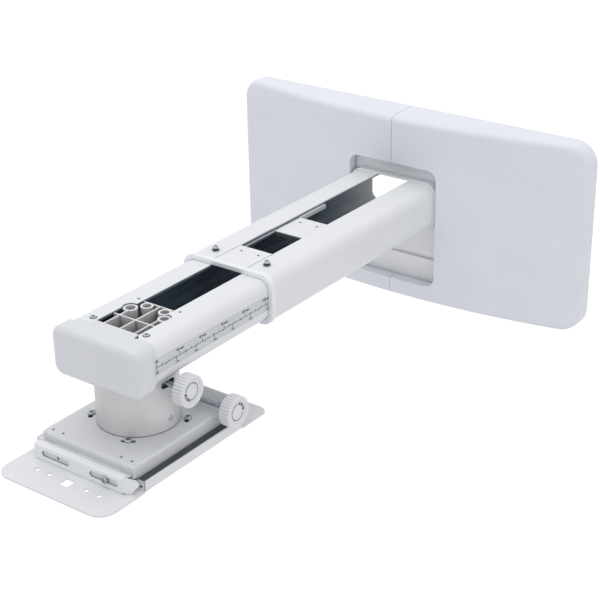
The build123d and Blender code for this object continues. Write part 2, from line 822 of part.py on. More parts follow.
# Tilt yoke, a pad and two ears that hold the cross pin
ear_x = yoke_span / 2 - yoke_ear
with BuildPart() as tilt_yoke:
    with BuildSketch(Plane.XY.offset(inner_bottom)):
        with Locations((0, head_y)):
            Rectangle(yoke_span, 2 * yoke_half_length)
            Rectangle(yoke_pad_x, yoke_pad_y)
            with GridLocations(yoke_screw_x, yoke_screw_y, 2, 2):
                Circle(small_shank + face_gap, mode=Mode.SUBTRACT)
    extrude(amount=-yoke_plate)
    for side in (-1, 1):
        with BuildSketch(Plane.YZ.offset(side * ear_x)):
            with BuildLine():
                Polyline(
                    (head_y - yoke_foot, pin_z),
                    (head_y - yoke_half_length, pin_z + ear_taper),
                    (head_y - yoke_half_length, inner_bottom),
                    (head_y + yoke_half_length, inner_bottom),
                    (head_y + yoke_half_length, pin_z + ear_taper),
                    (head_y + yoke_foot, pin_z),
                    close=True,
                )
            make_face()
            with Locations((head_y, pin_z)):
                Circle(yoke_foot)
                Circle(pin_radius + running_gap, mode=Mode.SUBTRACT)
            with Locations((head_y, slot_z)):
                Circle(rod_radius + running_gap, mode=Mode.SUBTRACT)
        extrude(amount=side * yoke_ear)

yoke_screw = cross_screw(small_head_radius, small_head_height, small_shank, yoke_plate + inner_wall)
with BuildPart() as yoke_screws:
    with Locations((0, head_y, inner_bottom - yoke_plate)):
        with GridLocations(yoke_screw_x, yoke_screw_y, 2, 2):
            add(Rot(180, 0, 0) * yoke_screw)

# Drum, open at the top, with a slot for the tilt rod and a spigot below
with BuildPart() as drum:
    with BuildSketch(Plane.XY.offset(drum_bottom)):
        with Locations((0, head_y)):
            Circle(drum_radius)
    extrude(amount=drum_height)
    chamfer(drum.edges().sort_by(Axis.Z)[-1], drum_rim_round)
    with BuildSketch(Plane.XY.offset(drum_bottom + drum_floor)):
        with Locations((0, head_y)):
            Circle(drum_radius - drum_wall)
    extrude(amount=drum_height, mode=Mode.SUBTRACT)
    with BuildSketch(Plane.XY.offset(drum_bottom)):
        with Locations((0, head_y)):
            Circle(spigot_radius)
    extrude(amount=-(tray_sheet + face_gap))
    with BuildSketch(Plane.YZ.offset(drum_radius - 2 * drum_wall)):
        with Locations((head_y, slot_z)):
            SlotOverall(drum_slot_length, drum_slot_height)
    extrude(amount=3 * drum_wall, mode=Mode.SUBTRACT)
    with BuildSketch(Plane.YZ):
        with Locations((head_y, pin_z)):
            Circle(pin_radius + running_gap / 2)
    extrude(amount=drum_radius + 1, both=True, mode=Mode.SUBTRACT)
    with BuildSketch(Plane.XY.offset(drum_bottom + drum_floor + 1)):
        with Locations((0, head_y)):
            Circle(rod_radius + face_gap)
    extrude(amount=-(drum_floor + tray_sheet + 3), mode=Mode.SUBTRACT)

with BuildPart() as tilt_pin:
    with BuildSketch(Plane.YZ):
        with Locations((head_y, pin_z)):
            Circle(pin_radius)
    extrude(amount=drum_radius + pin_proud, both=True)
    chamfer(tilt_pin.edges().filter_by(GeomType.CIRCLE), 0.5)

# Tilt knob and its threaded rod
knob_back = tilt_knob_front - knob_thickness
with BuildPart() as tilt_knob:
    with Locations(Location((knob_back, head_y, slot_z), (0, 90, 0))):
        add(knob_form)

with BuildPart() as tilt_rod:
    with BuildSketch(Plane.YZ.offset(tilt_rod_start)):
        with Locations((head_y, slot_z)):
            Circle(rod_radius)
    extrude(amount=knob_back + knob_thickness / 2 - tilt_rod_start)

# Yaw ring below the tray, bolted to the drum through its middle
ring_top = tray_top - tray_sheet - face_gap
yaw_angles = [yaw_screw_angle + 90 * turn for turn in range(4)]
yaw_spots = [
    (yaw_screw_circle * cos(radians(angle)), yaw_screw_circle * sin(radians(angle)))
    for angle in yaw_angles
]
yaw_slot_span = degrees((yaw_slot_half - yaw_slot_width / 2) / yaw_screw_circle)
yaw_arcs = [
    CenterArc((0, 0), yaw_screw_circle, angle - yaw_slot_span, 2 * yaw_slot_span) for angle in yaw_angles
]
with BuildPart() as yaw_ring:
    with BuildSketch(Plane.XY.offset(ring_top)):
        with Locations((0, head_y)):
            Circle(yaw_ring_radius)
            Circle(rod_radius + face_gap, mode=Mode.SUBTRACT)
            with Locations(*yaw_spots):
                Circle(pan_shank + running_gap, mode=Mode.SUBTRACT)
    extrude(amount=-yaw_ring_thickness)

with BuildPart() as ring_bolt:
    with Locations((0, head_y, ring_top - yaw_ring_thickness)):
        Cylinder(ring_bolt_head, ring_bolt_height, align=(Align.CENTER, Align.CENTER, Align.MAX))
        Cylinder(
            rod_radius,
            yaw_ring_thickness + drum_floor + tray_sheet,
            align=(Align.CENTER, Align.CENTER, Align.MIN),
        )

yaw_screw = cross_screw(pan_head_radius, pan_head_height, pan_shank, tray_sheet + yaw_ring_thickness)
with BuildPart() as yaw_screws:
    with Locations((0, head_y, tray_top + face_gap)):
        with Locations(*[(x, y, 0) for x, y in yaw_spots]):
            add(yaw_screw)

# Tray, one folded sheet: sides with feet, a stepped nose and a rear flange
tray_body = bent_sheet(
    facing(head_y + tray_rear),
    [
        (-tray_half_width - tray_foot, side_foot),
        (-tray_half_width, side_foot),
        (-tray_half_width, tray_top),
        (tray_half_width, tray_top),
        (tray_half_width, side_foot),
        (tray_half_width + tray_foot, side_foot),
    ],
    [tray_bend - tray_sheet, tray_bend, tray_bend, tray_bend - tray_sheet],
    tray_sheet,
    Side.RIGHT,
)
tray_roll = bent_sheet(
    Plane.YZ,
    [
        (head_y - tray_front + 2 * tray_nose_bend, tray_top),
        (head_y - tray_nose, tray_top),
        (head_y - tray_nose, step_z - tray_sheet),
    ],
    tray_nose_bend,
    tray_sheet,
    Side.LEFT,
)
tray_lip = bent_sheet(
    Plane.YZ,
    [
        (head_y - tray_front + 2 * tray_nose_bend, tray_top),
        (head_y - tray_nose, tray_top),
        (head_y - tray_nose, step_z),
        (lip_face_y, step_z),
        (lip_face_y, tray_top - tray_lip_end),
    ],
    [tray_nose_bend, tray_bend - tray_sheet, tray_bend],
    tray_sheet,
    Side.LEFT,
)
tray_tail = bent_sheet(
    Plane.YZ,
    [
        (head_y + tray_rear - 2 * tray_bend, tray_top - tray_sheet),
        (head_y + tray_rear_face, tray_top - tray_sheet),
        (head_y + tray_rear_face, tray_top + tray_rear_flange),
    ],
    tray_bend,
    tray_sheet,
    Side.LEFT,
)
with BuildPart() as tray:
    extrude(tray_body, amount=tray_rear + tray_front - tray_nose_bend)
    extrude(tray_roll, amount=tray_half_width - tray_bend, both=True)
    extrude(tray_lip, amount=tray_lip_half, both=True)
    extrude(tray_tail, amount=tray_half_width - tray_bend, both=True)
    with BuildSketch(Plane.XY.offset(tray_top + 1)):
        with Locations((0, head_y)):
            Circle(spigot_radius + running_gap)
            for arc in yaw_arcs:
                SlotArc(arc, yaw_slot_width)
            for hole_x in tray_hole_x:
                with Locations((-hole_x, -tray_hole_y), (hole_x, -tray_hole_y)):
                    Circle(tray_hole_radius)
            with Locations((-rear_screw_x, rear_screw_y), (rear_screw_x, rear_screw_y)):
                Circle(small_shank + face_gap)
    extrude(amount=-(tray_sheet + 2), mode=Mode.SUBTRACT)
    with BuildSketch(facing(lip_face_y + 2 * tray_sheet)):
        with Locations((bar_screw_x, bar_slot_z), (-bar_thread_x, bar_slot_z)):
            Circle(small_shank + face_gap)
    extrude(amount=4 * tray_sheet, mode=Mode.SUBTRACT)
    for side in (-1, 1):
        corner = (side * tray_half_width, head_y - tray_nose, tray_top - tray_nose_bend)
        with BuildSketch(Plane(origin=corner, z_dir=(side, -1, 0))):
            Circle(tray_corner_relief)
        extrude(amount=2 * tray_nose_bend, both=True, mode=Mode.SUBTRACT)

tray_screw_form = cross_screw(small_head_radius, small_head_height, small_shank, 2 * tray_sheet)
with BuildPart() as tray_screw:
    with Locations((rear_screw_x, head_y + rear_screw_y, tray_top)):
        add(tray_screw_form)

# Bracket on the tray that carries the side adjuster
bracket_section = bent_sheet(
    facing(head_y + adjuster_y + bracket_width / 2),
    [
        (bracket_x, tray_top),
        (bracket_x + bracket_length, tray_top),
        (bracket_x + bracket_length, tray_top + bracket_ear_height),
    ],
    bracket_bend,
    bracket_sheet,
    Side.LEFT,
)
adjuster_z = tray_top + adjuster_rise
adjuster_back = adjuster_knob_front - knob_thickness
with BuildPart() as adjuster_bracket:
    extrude(bracket_section, amount=bracket_width)
    with BuildSketch(Plane.YZ.offset(bracket_x)):
        with Locations((head_y + adjuster_y, adjuster_z)):
            Circle(rod_radius + running_gap)
    extrude(amount=2 * bracket_length, mode=Mode.SUBTRACT)

with BuildPart() as adjuster_knob:
    with Locations(Location((adjuster_back, head_y + adjuster_y, adjuster_z), (0, 90, 0))):
        add(knob_form)

with BuildPart() as adjuster_rod:
    with BuildSketch(Plane.YZ.offset(adjuster_rod_start)):
        with Locations((head_y + adjuster_y, adjuster_z)):
            Circle(rod_radius)
    extrude(amount=adjuster_back + knob_thickness / 2 - adjuster_rod_start)

# Projector plate, one folded sheet with turned-up sides
rail_section = bent_sheet(
    facing(head_y + rail_rear),
    [
        (-base_half_width, strip_top),
        (-base_half_width, base_bottom),
        (base_half_width, base_bottom),
        (base_half_width, strip_top),
    ],
    base_bend,
    base_sheet,
    Side.LEFT,
)
with BuildPart() as projector_plate:
    with BuildSketch(Plane.XY.offset(base_bottom)) as base_outline:
        with Locations((0, head_y + (base_rear - base_front) / 2)):
            Rectangle(2 * base_half_width, base_rear + base_front)
        fillet(base_outline.vertices().group_by(Axis.Y)[0], base_front_corner)
        fillet(base_outline.vertices().group_by(Axis.Y)[-1], base_rear_corner)
        with Locations((base_bend - base_half_width, head_y - rail_front - rail_relief)):
            Rectangle(
                3 * base_bend,
                rail_front + rail_rear + 2 * rail_relief,
                align=(Align.MAX, Align.MIN),
                mode=Mode.SUBTRACT,
            )
        with Locations((base_half_width - base_bend, head_y - rail_front - rail_relief)):
            Rectangle(
                3 * base_bend,
                rail_front + rail_rear + 2 * rail_relief,
                align=(Align.MIN, Align.MIN),
                mode=Mode.SUBTRACT,
            )
        with Locations((0, head_y - base_hole_y)):
            for hole_x in base_hole_x:
                with Locations((-hole_x, 0), (hole_x, 0)):
                    Circle(base_hole_radius, mode=Mode.SUBTRACT)
        with Locations((0, head_y - square_hole_y)):
            Rectangle(square_hole, square_hole, mode=Mode.SUBTRACT)
    extrude(amount=base_sheet)
    extrude(rail_section, amount=rail_front + rail_rear)

# Glide strips inside the turned-up sides, grooved for the feet of the tray
left_strip = glide_strip(-1)
right_strip = glide_strip(1)
with BuildPart() as glide_left:
    add(left_strip)

with BuildPart() as glide_right:
    add(right_strip)

# Lock bar, a slotted angle with a wing that stops the right side of the plate
bar_section = bent_sheet(
    Plane.YZ,
    [
        (head_y - bar_face, bar_bottom),
        (head_y - bar_face, bar_top),
        (head_y - bar_face + bar_flange, bar_top),
    ],
    bar_bend,
    bar_sheet,
    Side.RIGHT,
)
wing_plane = Plane(
    origin=(bar_half_width, head_y - bar_face, 0),
    x_dir=(cos(radians(wing_angle)), sin(radians(wing_angle)), 0),
    z_dir=(sin(radians(wing_angle)), -cos(radians(wing_angle)), 0),
)
with BuildPart() as lock_bar:
    extrude(bar_section, amount=bar_half_width, both=True)
    with BuildSketch(wing_plane):
        with BuildLine():
            Polyline(
                (-wing_start, bar_bottom),
                (-wing_start, bar_top - bar_bend),
                (wing_peak[0], bar_top + wing_peak[1]),
                (wing_top[0], bar_top - wing_top[1]),
                (wing_tip[0], bar_top - wing_tip[1]),
                (wing_low, bar_bottom),
                close=True,
            )
        make_face()
    extrude(amount=-bar_sheet)
    with BuildSketch(facing(head_y)):
        with Locations((-bar_slot_left, bar_slot_z), (bar_slot_right, bar_slot_z)):
            SlotOverall(bar_slot_length, bar_slot_height)
        with Locations((bar_half_width, bar_bottom)):
            Circle(wing_notch)
        with Locations((-bar_half_width, bar_bottom + bar_relief)):
            Circle(bar_relief)
    extrude(amount=bar_face + 2, mode=Mode.SUBTRACT)

bar_screw = cross_screw(pan_head_radius, pan_head_height, small_shank, bar_screw_length)
with BuildPart() as lock_bar_screw:
    with Locations(Location((bar_screw_x, head_y - bar_face - face_gap, bar_slot_z), (90, 0, 0))):
        add(bar_screw)

# Names and files
pieces = {
    "wall_plate": wall_plate,
    "cover_left": cover_left,
    "cover_right": cover_right,
    "carriage": carriage,
    "carriage_clamp": carriage_clamp,
    "carriage_bolts": carriage_bolts,
    "carriage_nuts": carriage_nuts,
    "outer_arm": outer_arm,
    "arm_collar": arm_collar,
    "near_bridge": near_bridge,
    "lock_screws": lock_screws,
    "inner_arm": inner_arm,
    "far_bridge": far_bridge,
    "arm_glides": arm_glides,
    "ruler_label": ruler_label,
    "end_cap": end_cap,
    "cap_screws": cap_screws,
    "grid_insert": grid_insert,
    "tilt_yoke": tilt_yoke,
    "yoke_screws": yoke_screws,
    "drum": drum,
    "tilt_pin": tilt_pin,
    "tilt_knob": tilt_knob,
    "tilt_rod": tilt_rod,
    "yaw_ring": yaw_ring,
    "ring_bolt": ring_bolt,
    "yaw_screws": yaw_screws,
    "tray": tray,
    "tray_screw": tray_screw,
    "adjuster_bracket": adjuster_bracket,
    "adjuster_knob": adjuster_knob,
    "adjuster_rod": adjuster_rod,
    "projector_plate": projector_plate,
    "glide_left": glide_left,
    "glide_right": glide_right,
    "lock_bar": lock_bar,
    "lock_bar_screw": lock_bar_screw,
}
os.makedirs("parts", exist_ok=True)
for name, piece in pieces.items():
    piece.part.label = name
    export_step(piece.part, f"parts/{name}.step")
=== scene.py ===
import logging
import math
from dataclasses import dataclass, field
from enum import Enum

import bpy
from mathutils import Matrix, Vector


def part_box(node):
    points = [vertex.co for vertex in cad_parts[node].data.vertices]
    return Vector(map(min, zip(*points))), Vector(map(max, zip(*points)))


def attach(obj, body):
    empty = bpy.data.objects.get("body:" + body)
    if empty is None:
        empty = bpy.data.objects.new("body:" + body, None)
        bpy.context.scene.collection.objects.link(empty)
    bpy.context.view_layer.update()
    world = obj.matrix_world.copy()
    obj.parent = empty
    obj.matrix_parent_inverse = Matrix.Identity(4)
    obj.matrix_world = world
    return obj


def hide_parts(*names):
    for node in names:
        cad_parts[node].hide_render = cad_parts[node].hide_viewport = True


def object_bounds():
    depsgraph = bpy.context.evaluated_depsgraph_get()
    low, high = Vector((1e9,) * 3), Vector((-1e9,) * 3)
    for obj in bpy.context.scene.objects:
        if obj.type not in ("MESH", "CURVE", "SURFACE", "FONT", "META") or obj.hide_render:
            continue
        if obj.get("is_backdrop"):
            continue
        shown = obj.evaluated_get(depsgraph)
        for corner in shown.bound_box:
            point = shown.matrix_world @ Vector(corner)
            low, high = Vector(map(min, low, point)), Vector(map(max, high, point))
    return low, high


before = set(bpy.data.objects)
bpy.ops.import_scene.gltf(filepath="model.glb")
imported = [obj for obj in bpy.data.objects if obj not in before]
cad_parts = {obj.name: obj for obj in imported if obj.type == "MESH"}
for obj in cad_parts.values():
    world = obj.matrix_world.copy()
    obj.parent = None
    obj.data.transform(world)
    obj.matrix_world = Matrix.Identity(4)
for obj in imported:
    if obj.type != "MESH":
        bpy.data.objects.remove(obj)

log = logging.getLogger("wall_mount")

Colour = tuple[float, float, float]
Point = tuple[float, float, float]
Spot = tuple[float, float]
Socket = bpy.types.NodeSocket

MM = 0.001
SIDES = (-1, 1)
WHITE = (1.0, 1.0, 1.0, 1.0)
NOWHERE = (0.0, 0.0, 0.0)
EVEN = (1.0, 1.0, 1.0)
WHOLE = (0.0, 1.0)
CLOUDS = (0.3, 0.7)
BLEND = 0.05 * MM


class Body(Enum):
    """Bodies of the frame that new pieces ride on."""

    ARM = "arm_body"
    CARRIAGE = "carriage_body"
    DRUM = "drum_body"
    TRAY = "tray_body"
    TILT_HANDLE = "tilt_handle"
    ADJUSTER_HANDLE = "adjuster_handle"


class Slot(Enum):
    """Material slots of the record, named with each new piece but not read."""

    COAT = "white_coat"
    CAP = "cap_plastic"
    FILM = "scale_film"
    KNOB = "knob_plastic"
    ZINC = "zinc"


class Graph:
    """Node tree of a finish, the floor or the surroundings."""

    def __init__(self, holder: bpy.types.Material | bpy.types.World) -> None:
        """Starts an empty tree.

        Args:
            holder: Material or world that owns the tree.
        """
        holder.use_nodes = True
        self.tree = holder.node_tree
        self.tree.nodes.clear()

    def put(self, kind: str, **settings: object) -> bpy.types.Node:
        """Adds a node.

        Args:
            kind: Blender's name of the node type.
            settings: Properties of the node and their values.

        Returns:
            The new node.
        """
        node = self.tree.nodes.new(kind)
        for name, value in settings.items():
            setattr(node, name, value)
        return node

    def feed(self, target: Socket, value: object) -> None:
        """Gives an input socket a fixed value, or a link from an output socket."""
        if isinstance(value, bpy.types.NodeSocket):
            self.tree.links.new(value, target)
        else:
            target.default_value = value

    def wire(self, kind: str, *values: object, **settings: object) -> Socket | None:
        """Adds a node and feeds its inputs in their order.

        Args:
            kind: Blender's name of the node type.
            values: Numbers, tuples or output sockets for the first inputs.
            settings: Properties of the node and their values.

        Returns:
            The node's first output, if it has one.
        """
        node = self.put(kind, **settings)
        for place, value in enumerate(values):
            self.feed(node.inputs[place], value)
        return node.outputs[0] if len(node.outputs) else None

    def spread(self, value: Socket, span: Spot, result: Spot = WHOLE) -> Socket:
        """Maps a value from one span to another, held at the ends."""
        return self.wire("ShaderNodeMapRange", value, *span, *result, clamp=True)

    def mix(self, share: Socket, first: object, second: object) -> Socket:
        """Mixes two colours.

        Args:
            share: Share of the second colour.
            first: First colour or socket.
            second: Second colour or socket.

        Returns:
            The mixed colour's socket.
        """
        node = self.put("ShaderNodeMix", data_type="RGBA")
        for place, value in ((0, share), (6, first), (7, second)):
            self.feed(node.inputs[place], value)
        return node.outputs[2]


class SurfaceGraph(Graph):
    """Node tree of a finish, laid out over the object's own position."""

    def __init__(self, material: bpy.types.Material) -> None:
        """Starts a principled surface.

        Args:
            material: Material that owns the tree.
        """
        super().__init__(material)
        self.surface = self.put("ShaderNodeBsdfPrincipled")
        self.wire("ShaderNodeOutputMaterial", self.surface.outputs["BSDF"])
        self.position = self.put("ShaderNodeTexCoord").outputs["Object"]

    def vector(self, operation: str, first: object, second: object = NOWHERE) -> Socket:
        """Adds a vector math node.

        Args:
            operation: Blender's name of the operation.
            first: First vector or socket.
            second: Second vector or socket.

        Returns:
            The result's socket.
        """
        node = self.put("ShaderNodeVectorMath", operation=operation)
        self.feed(node.inputs[0], first)
        self.feed(node.inputs[1], second)
        return node.outputs["Value" if operation == "LENGTH" else "Vector"]

    def noise(self, scale: float, detail: float, stretch: Point = EVEN) -> Socket:
        """Adds a noise texture.

        Args:
            scale: Patches for each metre.
            detail: Number of finer layers.
            stretch: Factor along each axis before the scale.

        Returns:
            The noise value's socket, from 0 to 1.
        """
        node = self.put("ShaderNodeTexNoise")
        self.feed(node.inputs["Vector"], self.vector("MULTIPLY", self.position, stretch))
        self.feed(node.inputs["Scale"], scale)
        self.feed(node.inputs["Detail"], detail)
        return node.outputs[0]

    def axis(self, place: int) -> Socket:
        """Gives one coordinate of the object's own position."""
        node = self.put("ShaderNodeSeparateXYZ")
        self.feed(node.inputs[0], self.position)
        return node.outputs[place]

    def offset(self, middle: Point, kept: Point) -> Socket:
        """Gives the way from a point, along the axes whose factor is 1."""
        return self.vector("MULTIPLY", self.vector("SUBTRACT", self.position, middle), kept)

    def reach(self, middle: Point, core: Point) -> Socket:
        """Measures, in a section across Y, how far the surface lies outside a box.

        Args:
            middle: Middle of the box.
            core: Half of the box's size.

        Returns:
            The distance's socket.
        """
        folded = self.vector("ABSOLUTE", self.offset(middle, (1.0, 0.0, 1.0)))
        past = self.vector("SUBTRACT", folded, core)
        return self.vector("LENGTH", self.vector("MAXIMUM", past))

    def step(self, value: Socket, place: float, edge: Spot) -> Socket:
        """Steps from 0 to 1 at a place, over an edge that is counted from there."""
        return self.spread(value, (place + edge[0], place + edge[1]))

    def crevice(self, distance: float) -> Socket:
        """Tells open faces from crevices.

        Args:
            distance: How far away a face may stand and still count, in metres.

        Returns:
            A socket that is 1 on open faces and falls towards 0 in crevices.
        """
        node = self.put("ShaderNodeAmbientOcclusion", samples=8)
        self.feed(node.inputs["Distance"], distance)
        return node.outputs["AO"]

    def bump(self, height: Socket, depth: float) -> None:
        """Adds relief to the surface, on top of what is there.

        Args:
            height: Socket of the height, from 0 to 1.
            depth: Depth of the relief in metres.
        """
        node = self.put("ShaderNodeBump")
        for name, value in (("Strength", 1.0), ("Distance", depth), ("Height", height)):
            self.feed(node.inputs[name], value)
        normal = self.surface.inputs["Normal"]
        for link in list(normal.links):
            self.feed(node.inputs["Normal"], link.from_socket)
        self.feed(normal, node.outputs["Normal"])

    def soften(self, radius: float) -> None:
        """Rounds the look of sharp edges by a radius in metres."""
        node = self.put("ShaderNodeBevel", samples=4)
        self.feed(node.inputs["Radius"], radius)
        self.feed(self.surface.inputs["Normal"], node.outputs["Normal"])


def shade(colour: Colour, factor: float = 1.0) -> tuple[float, float, float, float]:
    """Makes a linear colour lighter or darker, and gives it full alpha."""
    red, green, blue = (min(1.0, part * factor) for part in colour)
    return (red, green, blue, 1.0)


@dataclass(frozen=True)
class Finish:
    """A surface finish: its colour, how it shines and its fine relief."""

    name: str
    colour: Colour
    roughness: float = 0.45
    roughness_spread: float = 0.05
    metallic: float = 0.0
    tone_spread: float = 0.02
    tone_scale: float = 22.0
    grain_scale: float = 1500.0
    grain_depth: float = 0.012 * MM
    edge_radius: float = 0.35 * MM
    coat: float = 0.0
    coat_roughness: float = 0.12
    # Crevice fields: painted shade that darkens crevices, found by ambient occlusion.
    crevice_depth: float = 0.0
    crevice_tone: float = 0.35
    crevice_span: Spot = (0.25, 0.8)

    def painted_crevice_shade(self, graph: SurfaceGraph, tone: Socket) -> Socket:
        """Darkens the crevices of a colour with painted shade, found by ambient occlusion.

        Args:
            graph: Node tree to work in.
            tone: The colour on open faces.

        Returns:
            The colour's socket.
        """
        if self.crevice_depth == 0:
            return tone
        # Painted shade: the colour darkens where ambient occlusion finds crevices.
        share = graph.spread(graph.crevice(self.crevice_depth), self.crevice_span)
        return graph.mix(share, shade(self.colour, self.crevice_tone), tone)

    def tone(self, graph: SurfaceGraph) -> Socket:
        """Gives the colour, which wanders a little over the surface.

        Args:
            graph: Node tree to work in.

        Returns:
            The colour's socket.
        """
        share = graph.spread(graph.noise(self.tone_scale, 4.0), CLOUDS)
        low, high = (shade(self.colour, 1 + side * self.tone_spread) for side in SIDES)
        return graph.mix(share, low, high)

    def shine(self, graph: SurfaceGraph) -> Socket:
        """Gives the roughness, which wanders a little over the surface."""
        span = (self.roughness - self.roughness_spread, self.roughness + self.roughness_spread)
        return graph.spread(graph.noise(6 * self.tone_scale, 3.0), CLOUDS, span)

    def relief(self, graph: SurfaceGraph) -> None:
        """Adds the fine relief of the surface."""
        graph.bump(graph.noise(self.grain_scale, 2.0), self.grain_depth)

    def build(self) -> bpy.types.Material:
        """Makes the material.

        Returns:
            The material.
        """
        material = bpy.data.materials.new(self.name)
        graph = SurfaceGraph(material)
        if self.edge_radius > 0:
            graph.soften(self.edge_radius)
        for name, value in (
            ("Base Color", self.painted_crevice_shade(graph, self.tone(graph))),
            ("Roughness", self.shine(graph)),
            ("Metallic", self.metallic),
            ("Coat Weight", self.coat),
            ("Coat Roughness", self.coat_roughness),
        ):
            graph.feed(graph.surface.inputs[name], value)
        self.relief(graph)
        return material


@dataclass(frozen=True)
class ChannelFinish(Finish):
    """Powder coat outside a channel, and bare dark steel inside it, lightened towards the rear
    opening by painted light.
    """

    half_width: float = 0.0
    half_depth: float = 0.0
    centre_height: float = 0.0
    corner: float = 0.0
    coated_depth: float = 0.0
    inside: Colour = (0.13, 0.17, 0.23)
    inside_spread: float = 0.28
    inside_shine: Spot = (0.52, 0.68)
    # Painted light: the inside turns lighter towards the rear opening, where light falls in.
    rear_painted_light: Colour = (0.36, 0.39, 0.42)
    rear_light_span: Spot = WHOLE
    streak_scale: float = 150.0
    streak_stretch: Point = (1.0, 0.3, 1.0)
    sheen_scale: float = 90.0

    def inner_share(self, graph: SurfaceGraph) -> Socket:
        """Tells the inner faces from the outer ones.

        Args:
            graph: Node tree to work in.

        Returns:
            A socket that is 1 on the inner faces and 0 elsewhere.
        """
        core = (self.half_width - self.corner, 0.0, self.half_depth - self.corner)
        reach = graph.reach((0.0, 0.0, self.centre_height), core)
        limit = self.corner - self.coated_depth
        return graph.spread(reach, (limit - BLEND, limit + BLEND), (1.0, 0.0))

    def tone(self, graph: SurfaceGraph) -> Socket:
        """Gives the coat's colour outside and the steel's inside, with painted light towards the
        rear.
        """
        streaks = graph.noise(self.streak_scale, 5.0, self.streak_stretch)
        low, high = (shade(self.inside, 1 + side * self.inside_spread) for side in SIDES)
        # Painted light: the steel lightens along Y towards the rear opening.
        rear = graph.spread(graph.axis(1), self.rear_light_span)
        streaked = graph.mix(graph.spread(streaks, CLOUDS), low, high)
        steel = graph.mix(rear, streaked, shade(self.rear_painted_light))
        return graph.mix(self.inner_share(graph), super().tone(graph), steel)

    def shine(self, graph: SurfaceGraph) -> Socket:
        """Gives the roughness of the coat outside and of the steel inside."""
        steel = graph.spread(graph.noise(self.sheen_scale, 4.0), CLOUDS, self.inside_shine)
        node = graph.put("ShaderNodeMix", data_type="FLOAT")
        parts = ((0, self.inner_share(graph)), (2, super().shine(graph)), (3, steel))
        for place, value in parts:
            graph.feed(node.inputs[place], value)
        return node.outputs[0]


@dataclass(frozen=True)
class SheetFinish(Finish):
    """Powder coat on top of a bridge plate, and a dark sheared edge below it."""

    top: float = 0.0
    edge: Colour = (0.10, 0.11, 0.12)
    edge_span: Spot = (-0.8 * MM, -0.6 * MM)

    def tone(self, graph: SurfaceGraph) -> Socket:
        """Gives the coat's colour on top and the dark edge's below."""
        share = graph.step(graph.axis(2), self.top, self.edge_span)
        return graph.mix(share, shade(self.edge), super().tone(graph))


@dataclass(frozen=True)
class SlottedFinish(Finish):
    """Powder coat on a slotted bar, with bare metal on the slots' walls."""

    slot_places: tuple[Spot, ...] = ()
    slot_half: float = 0.0
    slot_radius: float = 0.0
    bare: Colour = (0.26, 0.275, 0.30)
    slot_edge: Spot = (0.05 * MM, 0.12 * MM)

    def tone(self, graph: SurfaceGraph) -> Socket:
        """Gives the coat's colour, and the bare metal's inside the slots."""
        tone = super().tone(graph)
        core = (self.slot_half - self.slot_radius, 0.0, 0.0)
        for place_x, place_z in self.slot_places:
            reach = graph.reach((place_x, 0.0, place_z), core)
            share = graph.step(reach, self.slot_radius, self.slot_edge)
            tone = graph.mix(share, shade(self.bare), tone)
        return tone


@dataclass(frozen=True)
class FlangedFinish(Finish):
    """Silky powder coat, with the flange at the rear painted paler as painted light."""

    flange_from: float = 0.0
    # Painted light: the flange's paler colour stands in for light falling on it.
    flange: Colour = (0.93, 0.94, 0.95)
    flange_edge: Spot = (-0.5 * MM, 0.0)

    def tone(self, graph: SurfaceGraph) -> Socket:
        """Gives the coat's colour, and a paler one on the flange as painted light."""
        share = graph.step(graph.axis(1), self.flange_from, self.flange_edge)
        return graph.mix(share, super().tone(graph), shade(self.flange))


@dataclass(frozen=True)
class RibbedFinish(Finish):
    """Moulded grid with a painted highlight on its rims and painted shade that darkens its cells
    with depth.
    """

    top: float = 0.0
    depth: float = 1.0
    # Painted light: the rim colour is a painted highlight, and the cells darken downwards as
    # painted shade.
    rim: Colour = (0.76, 0.76, 0.78)
    rim_edge: Spot = (-0.7 * MM, -0.3 * MM)
    deep_shade_tone: float = 0.45

    def tone(self, graph: SurfaceGraph) -> Socket:
        """Gives a painted highlight on the rim on top and painted shade that darkens the colour
        downwards.
        """
        height = graph.axis(2)
        # Painted shade falls with depth in the cells; the rim above gets a painted highlight.
        fall = graph.spread(height, (self.top - self.depth, self.top))
        cell = graph.mix(fall, shade(self.colour, self.deep_shade_tone), super().tone(graph))
        share = graph.step(height, self.top, self.rim_edge)
        return graph.mix(share, cell, shade(self.rim))


